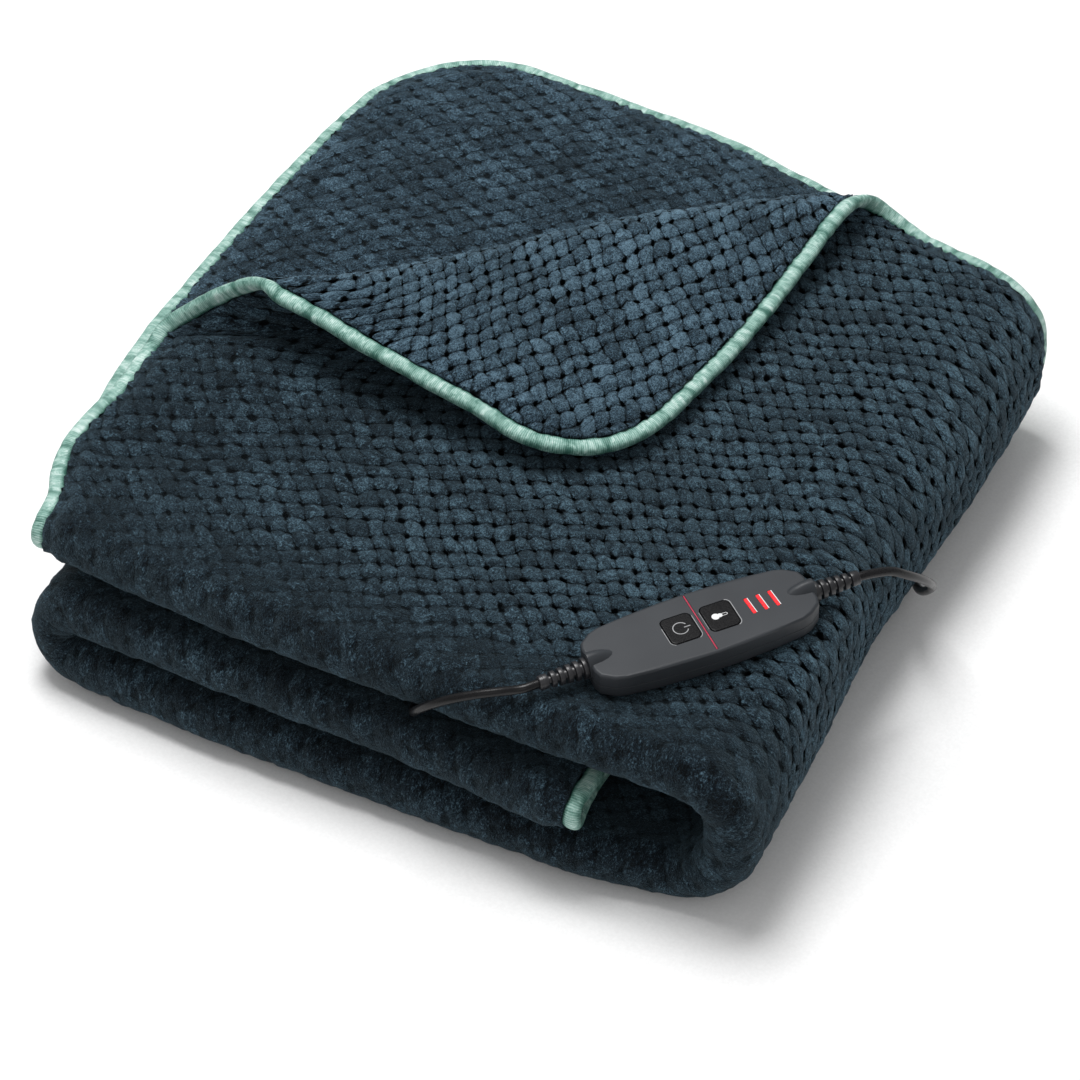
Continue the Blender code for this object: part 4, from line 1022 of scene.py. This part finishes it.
reliefSpec = {"long": 0.028, "big": 0.0061, "small": 0.0041, "ribs": 5, "slot": 0.0020, "slotShare": 0.42,
              "sides": 40, "collar": 0.0024, "step": 0.0001, "bevel": 0.00025}


def atController(a, b, c):
    return Matrix.Translation(fold["shift"]) @ controllerMatrix() @ Matrix.Translation((a, b, c))


def reliefRows(spec):  # (distance, radius) pairs along a relief: a collar, ribs with slots, a thin end
    rows = [(0.0, spec["big"]), (spec["collar"], spec["big"])]
    pitch = (spec["long"] - 2 * spec["collar"]) / spec["ribs"]
    for k in range(spec["ribs"]):
        at = spec["collar"] + k * pitch
        size = spec["big"] + (spec["small"] - spec["big"]) * (at + pitch) / spec["long"]
        slotEnd = at + pitch * spec["slotShare"]
        rows += [(at + spec["step"], size - spec["slot"]), (slotEnd, size - spec["slot"]),
                 (slotEnd + spec["step"], size), (at + pitch, size)]
    end = spec["long"] - spec["collar"] + spec["step"]
    return rows + [(end, spec["small"]), (spec["long"] - 0.0004, spec["small"]),
                   (spec["long"], spec["small"] - 0.0005)]


def addRelief(name, side, nodeName):  # drawn out from a disc, rib by rib
    rows = reliefRows(reliefSpec)
    clearSelection()
    bpy.ops.mesh.primitive_circle_add(vertices=reliefSpec["sides"], radius=rows[0][1], fill_type="NGON")
    piece = bpy.context.object
    piece.name = piece.data.name = name
    bpy.ops.object.mode_set(mode="EDIT")
    bpy.ops.mesh.select_all(action="SELECT")
    for (s0, r0), (s1, r1) in zip(rows[:-1], rows[1:]):
        bpy.ops.mesh.extrude_region_move(TRANSFORM_OT_translate={"value": (0, 0, s1 - s0)})
        bpy.ops.transform.resize(value=(r1 / r0, r1 / r0, 1.0), center_override=(0, 0, s1))
    editWhole(piece, (bpy.ops.mesh.normals_make_consistent, {"inside": False}))
    softenEdges(piece, reliefSpec["bevel"], 40)
    start = controllerAt["half"] + leadSpec["lip"] + controllerAt["gap"]
    turned = Matrix.Rotation(side * math.pi / 2, 4, "Y")
    placeInMesh(piece, atController(side * start, 0, leadSpec["reliefUp"]) @ turned)
    smoothShade(piece, 45)
    dress(piece, reliefRubber, "relief_rubber", nodeName)


addRelief("relief_to_blanket", -1, "strain_relief_left")
addRelief("relief_to_mains", 1, "strain_relief_right")

# printed icons, and painted highlights drawn as light lines on the rims of the key wells and beside the red
# bars

printAndGlintSpec = {
    "keyAt": 0.0118,         # each key's middle along the controller
    "keyTop": 0.0169, "coverTop": 0.0165, "thick": 0.00012,
    "ring": 0.00425, "ringLine": 0.0006, "ringGap": 28, "bar": (0.0020, 0.0058),
    "bulb": 0.0023, "bulbAt": -0.0026, "disc": 0.0015, "stemStart": -0.0011, "stemEnd": 0.0044,
    "stemHalf": 0.0008, "stemLine": 0.00035, "rim": 0.0096, "rimRound": 0.0036, "rimEnd": 0.0104,
    "bars": (0.0300, 0.0372, 0.0444), "barHalf": 0.0059, "barSide": 0.0013, "barSlant": 3.0, "barGlint": 0.0005,
}


def addFlatLine(name, points, width, at, body, finish, closed=False):
    polyCurve([(a, b, 0) for a, b in points], width, closed).data.bevel_resolution = 3
    piece = meshFromCurve(name)
    placeInMesh(piece, atController(*at) @ Matrix.Diagonal((1, 1, printAndGlintSpec["thick"] / width, 1)))
    smoothShade(piece)
    setMaterial(piece, finish)
    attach(piece, body)


def arc(radius, first, last, count, middle=(0.0, 0.0)):
    angles = np.radians(np.linspace(first, last, count))
    return [(middle[0] + radius * math.cos(t), middle[1] + radius * math.sin(t)) for t in angles]


def addIcons(spec):
    power = (-spec["keyAt"], 0, spec["keyTop"]), "power_key", greyInkAndGlint
    heat = (spec["keyAt"], 0, spec["keyTop"]), "heat_key", whiteInkAndGlint
    gap, half = spec["ringGap"], spec["stemHalf"]
    addFlatLine("power_ring", arc(spec["ring"], gap, 360 - gap, 44), spec["ringLine"], *power)
    addFlatLine("power_bar", [(end, 0) for end in spec["bar"]], spec["ringLine"], *power)
    bulb = arc(spec["bulb"] / 2, 0, 345, 24, (spec["bulbAt"], 0))
    addFlatLine("thermometer_bulb", bulb, spec["bulb"], *heat, True)
    addFlatLine("thermometer_disc", arc(spec["disc"] / 2, 0, 345, 24), spec["disc"], *heat, True)
    stem = [(spec["stemStart"], -half)] + arc(half, -90, 90, 12, (spec["stemEnd"] - half, 0)) \
        + [(spec["stemStart"], half)]
    addFlatLine("thermometer_stem", stem, spec["stemLine"], *heat)


# painted highlights: light grey lines drawn on the key wells' rims, where they catch the light
def addRimGlints(spec):
    side, curl = spec["rim"], spec["rimRound"]
    low = spec["rimEnd"] - curl
    glints = {  # which key, which side of it, where the line starts, its width, whether it turns the corner
        "glint_power_left": (-1, -1, 0.004, 0.00035, True), "glint_power_right": (-1, 1, 0.0068, 0.00042, True),
        "glint_heat_left": (1, -1, 0.0068, 0.00028, False), "glint_heat_right": (1, 1, 0.0068, 0.00055, True),
    }
    for name, (key, way, top, width, curls) in glints.items():
        points = [(way * side, top), (way * side, top / 2), (way * side, 0), (way * side, -low)]
        if curls:
            points += [(way * a, -b) for a, b in arc(curl, 0, 72, 9, (side - curl, low))[1:]]
        if name == "glint_heat_right":
            points = [(way * a, b) for a, b in arc(curl, 72, 0, 9, (side - curl, low))] + points[1:]
        addFlatLine(name, points, width, (key * spec["keyAt"], 0, spec["coverTop"]), "blanket", greyInkAndGlint)
    # painted highlights: a white line beside each red bar, where its edge catches the light
    lean = math.radians(spec["barSlant"])
    points = [(spec["barSide"] * math.cos(lean) - t * math.sin(lean), spec["barSide"] * math.sin(lean)
               + t * math.cos(lean)) for t in np.linspace(-spec["barHalf"], spec["barHalf"], 5)]
    for number, a in enumerate(spec["bars"]):
        addFlatLine("bar_glint_%d" % (number + 1), points, spec["barGlint"], (a, 0, spec["coverTop"]), "blanket",
                   whiteInkAndGlint)


addIcons(printAndGlintSpec)
addRimGlints(printAndGlintSpec)

# the tie that holds the coil

tieSpec = {"at": 100, "half": 0.0096, "wide": 0.0050, "thick": 0.0005, "top": 0.0176, "bend": 0.0045,
           "inward": 0.0010}


def addTie(spec):
    angle = math.radians(spec["at"])
    outside = 2 * leadSpec["diameter"] + leadSpec["gap"]
    middle = leadSpec["coilMiddle"] + (outside - leadSpec["spacing"]) / 2 - spec["inward"]
    half, top, bend = spec["half"], spec["top"], spec["bend"]
    points = arc(bend, 90, 0, 8, (half - bend, top - bend)) + arc(bend, 0, -90, 8, (half - bend, bend)) \
        + arc(bend, -90, -180, 8, (-half + bend, bend)) + arc(bend, 180, 90, 8, (-half + bend, top - bend))
    band = polyCurve([(a, b + spec["thick"], 0) for a, b in points], spec["thick"], True).data
    band.dimensions = "2D"
    band.fill_mode = "NONE"
    band.extrude = spec["wide"] / 2
    band.bevel_resolution = 2
    piece = meshFromCurve("coil_tie")
    upright = Matrix.Rotation(math.pi / 2, 4, "X")
    x, y = leadSpec["coilAt"]
    at = Matrix.Translation((x + middle * math.cos(angle), y + middle * math.sin(angle), 0))
    placeInMesh(piece, Matrix.Translation(fold["shift"]) @ at @ Matrix.Rotation(angle, 4, "Z") @ upright)
    smoothShade(piece, 40)
    setMaterial(piece, reliefRubber)
    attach(piece, "blanket")
    return piece


coilTie = addTie(tieSpec)
print("icons printed, coil tied")

# floor and light


def addStage():
    made, tree = newMaterial("matt white paper sweep")
    finishMaterial(tree, {"Base Color": spotted(tree, 1 / 600, "#f4f4f4", "#fafafa")[1], "Roughness": 0.9,
                          "Specular IOR Level": 0.1})
    clearSelection()
    bpy.ops.mesh.primitive_plane_add(size=12.0, location=(0, 0, -0.0006))
    floor = bpy.context.object
    floor.name = "floor"
    placeInMesh(floor, Matrix.Identity(4))
    setMaterial(floor, made)


def addLight(name, where, size, power, target=(0.0, 0.0, 0.05)):
    bpy.ops.object.light_add(type="AREA", location=where)
    made = bpy.context.object
    made.name = name
    made.data.shape = "RECTANGLE"
    made.data.size, made.data.size_y = size
    made.data.energy = power
    aim(made, Vector(target) - Vector(where))


def addWorld(strength):
    world = bpy.data.worlds.new("soft studio")
    world.use_nodes = True
    world.node_tree.nodes["Background"].inputs["Color"].default_value = (1, 1, 1, 1)
    world.node_tree.nodes["Background"].inputs["Strength"].default_value = strength
    bpy.context.scene.world = world


addStage()
addWorld(0.40)
addLight("key softbox", (-0.5, 0.3, 2.15), (1.1, 1.1), 50.0)
addLight("front fill", (0.6, -1.6, 1.3), (1.4, 1.0), 3.0)
bpy.context.scene.view_settings.view_transform = "Standard"
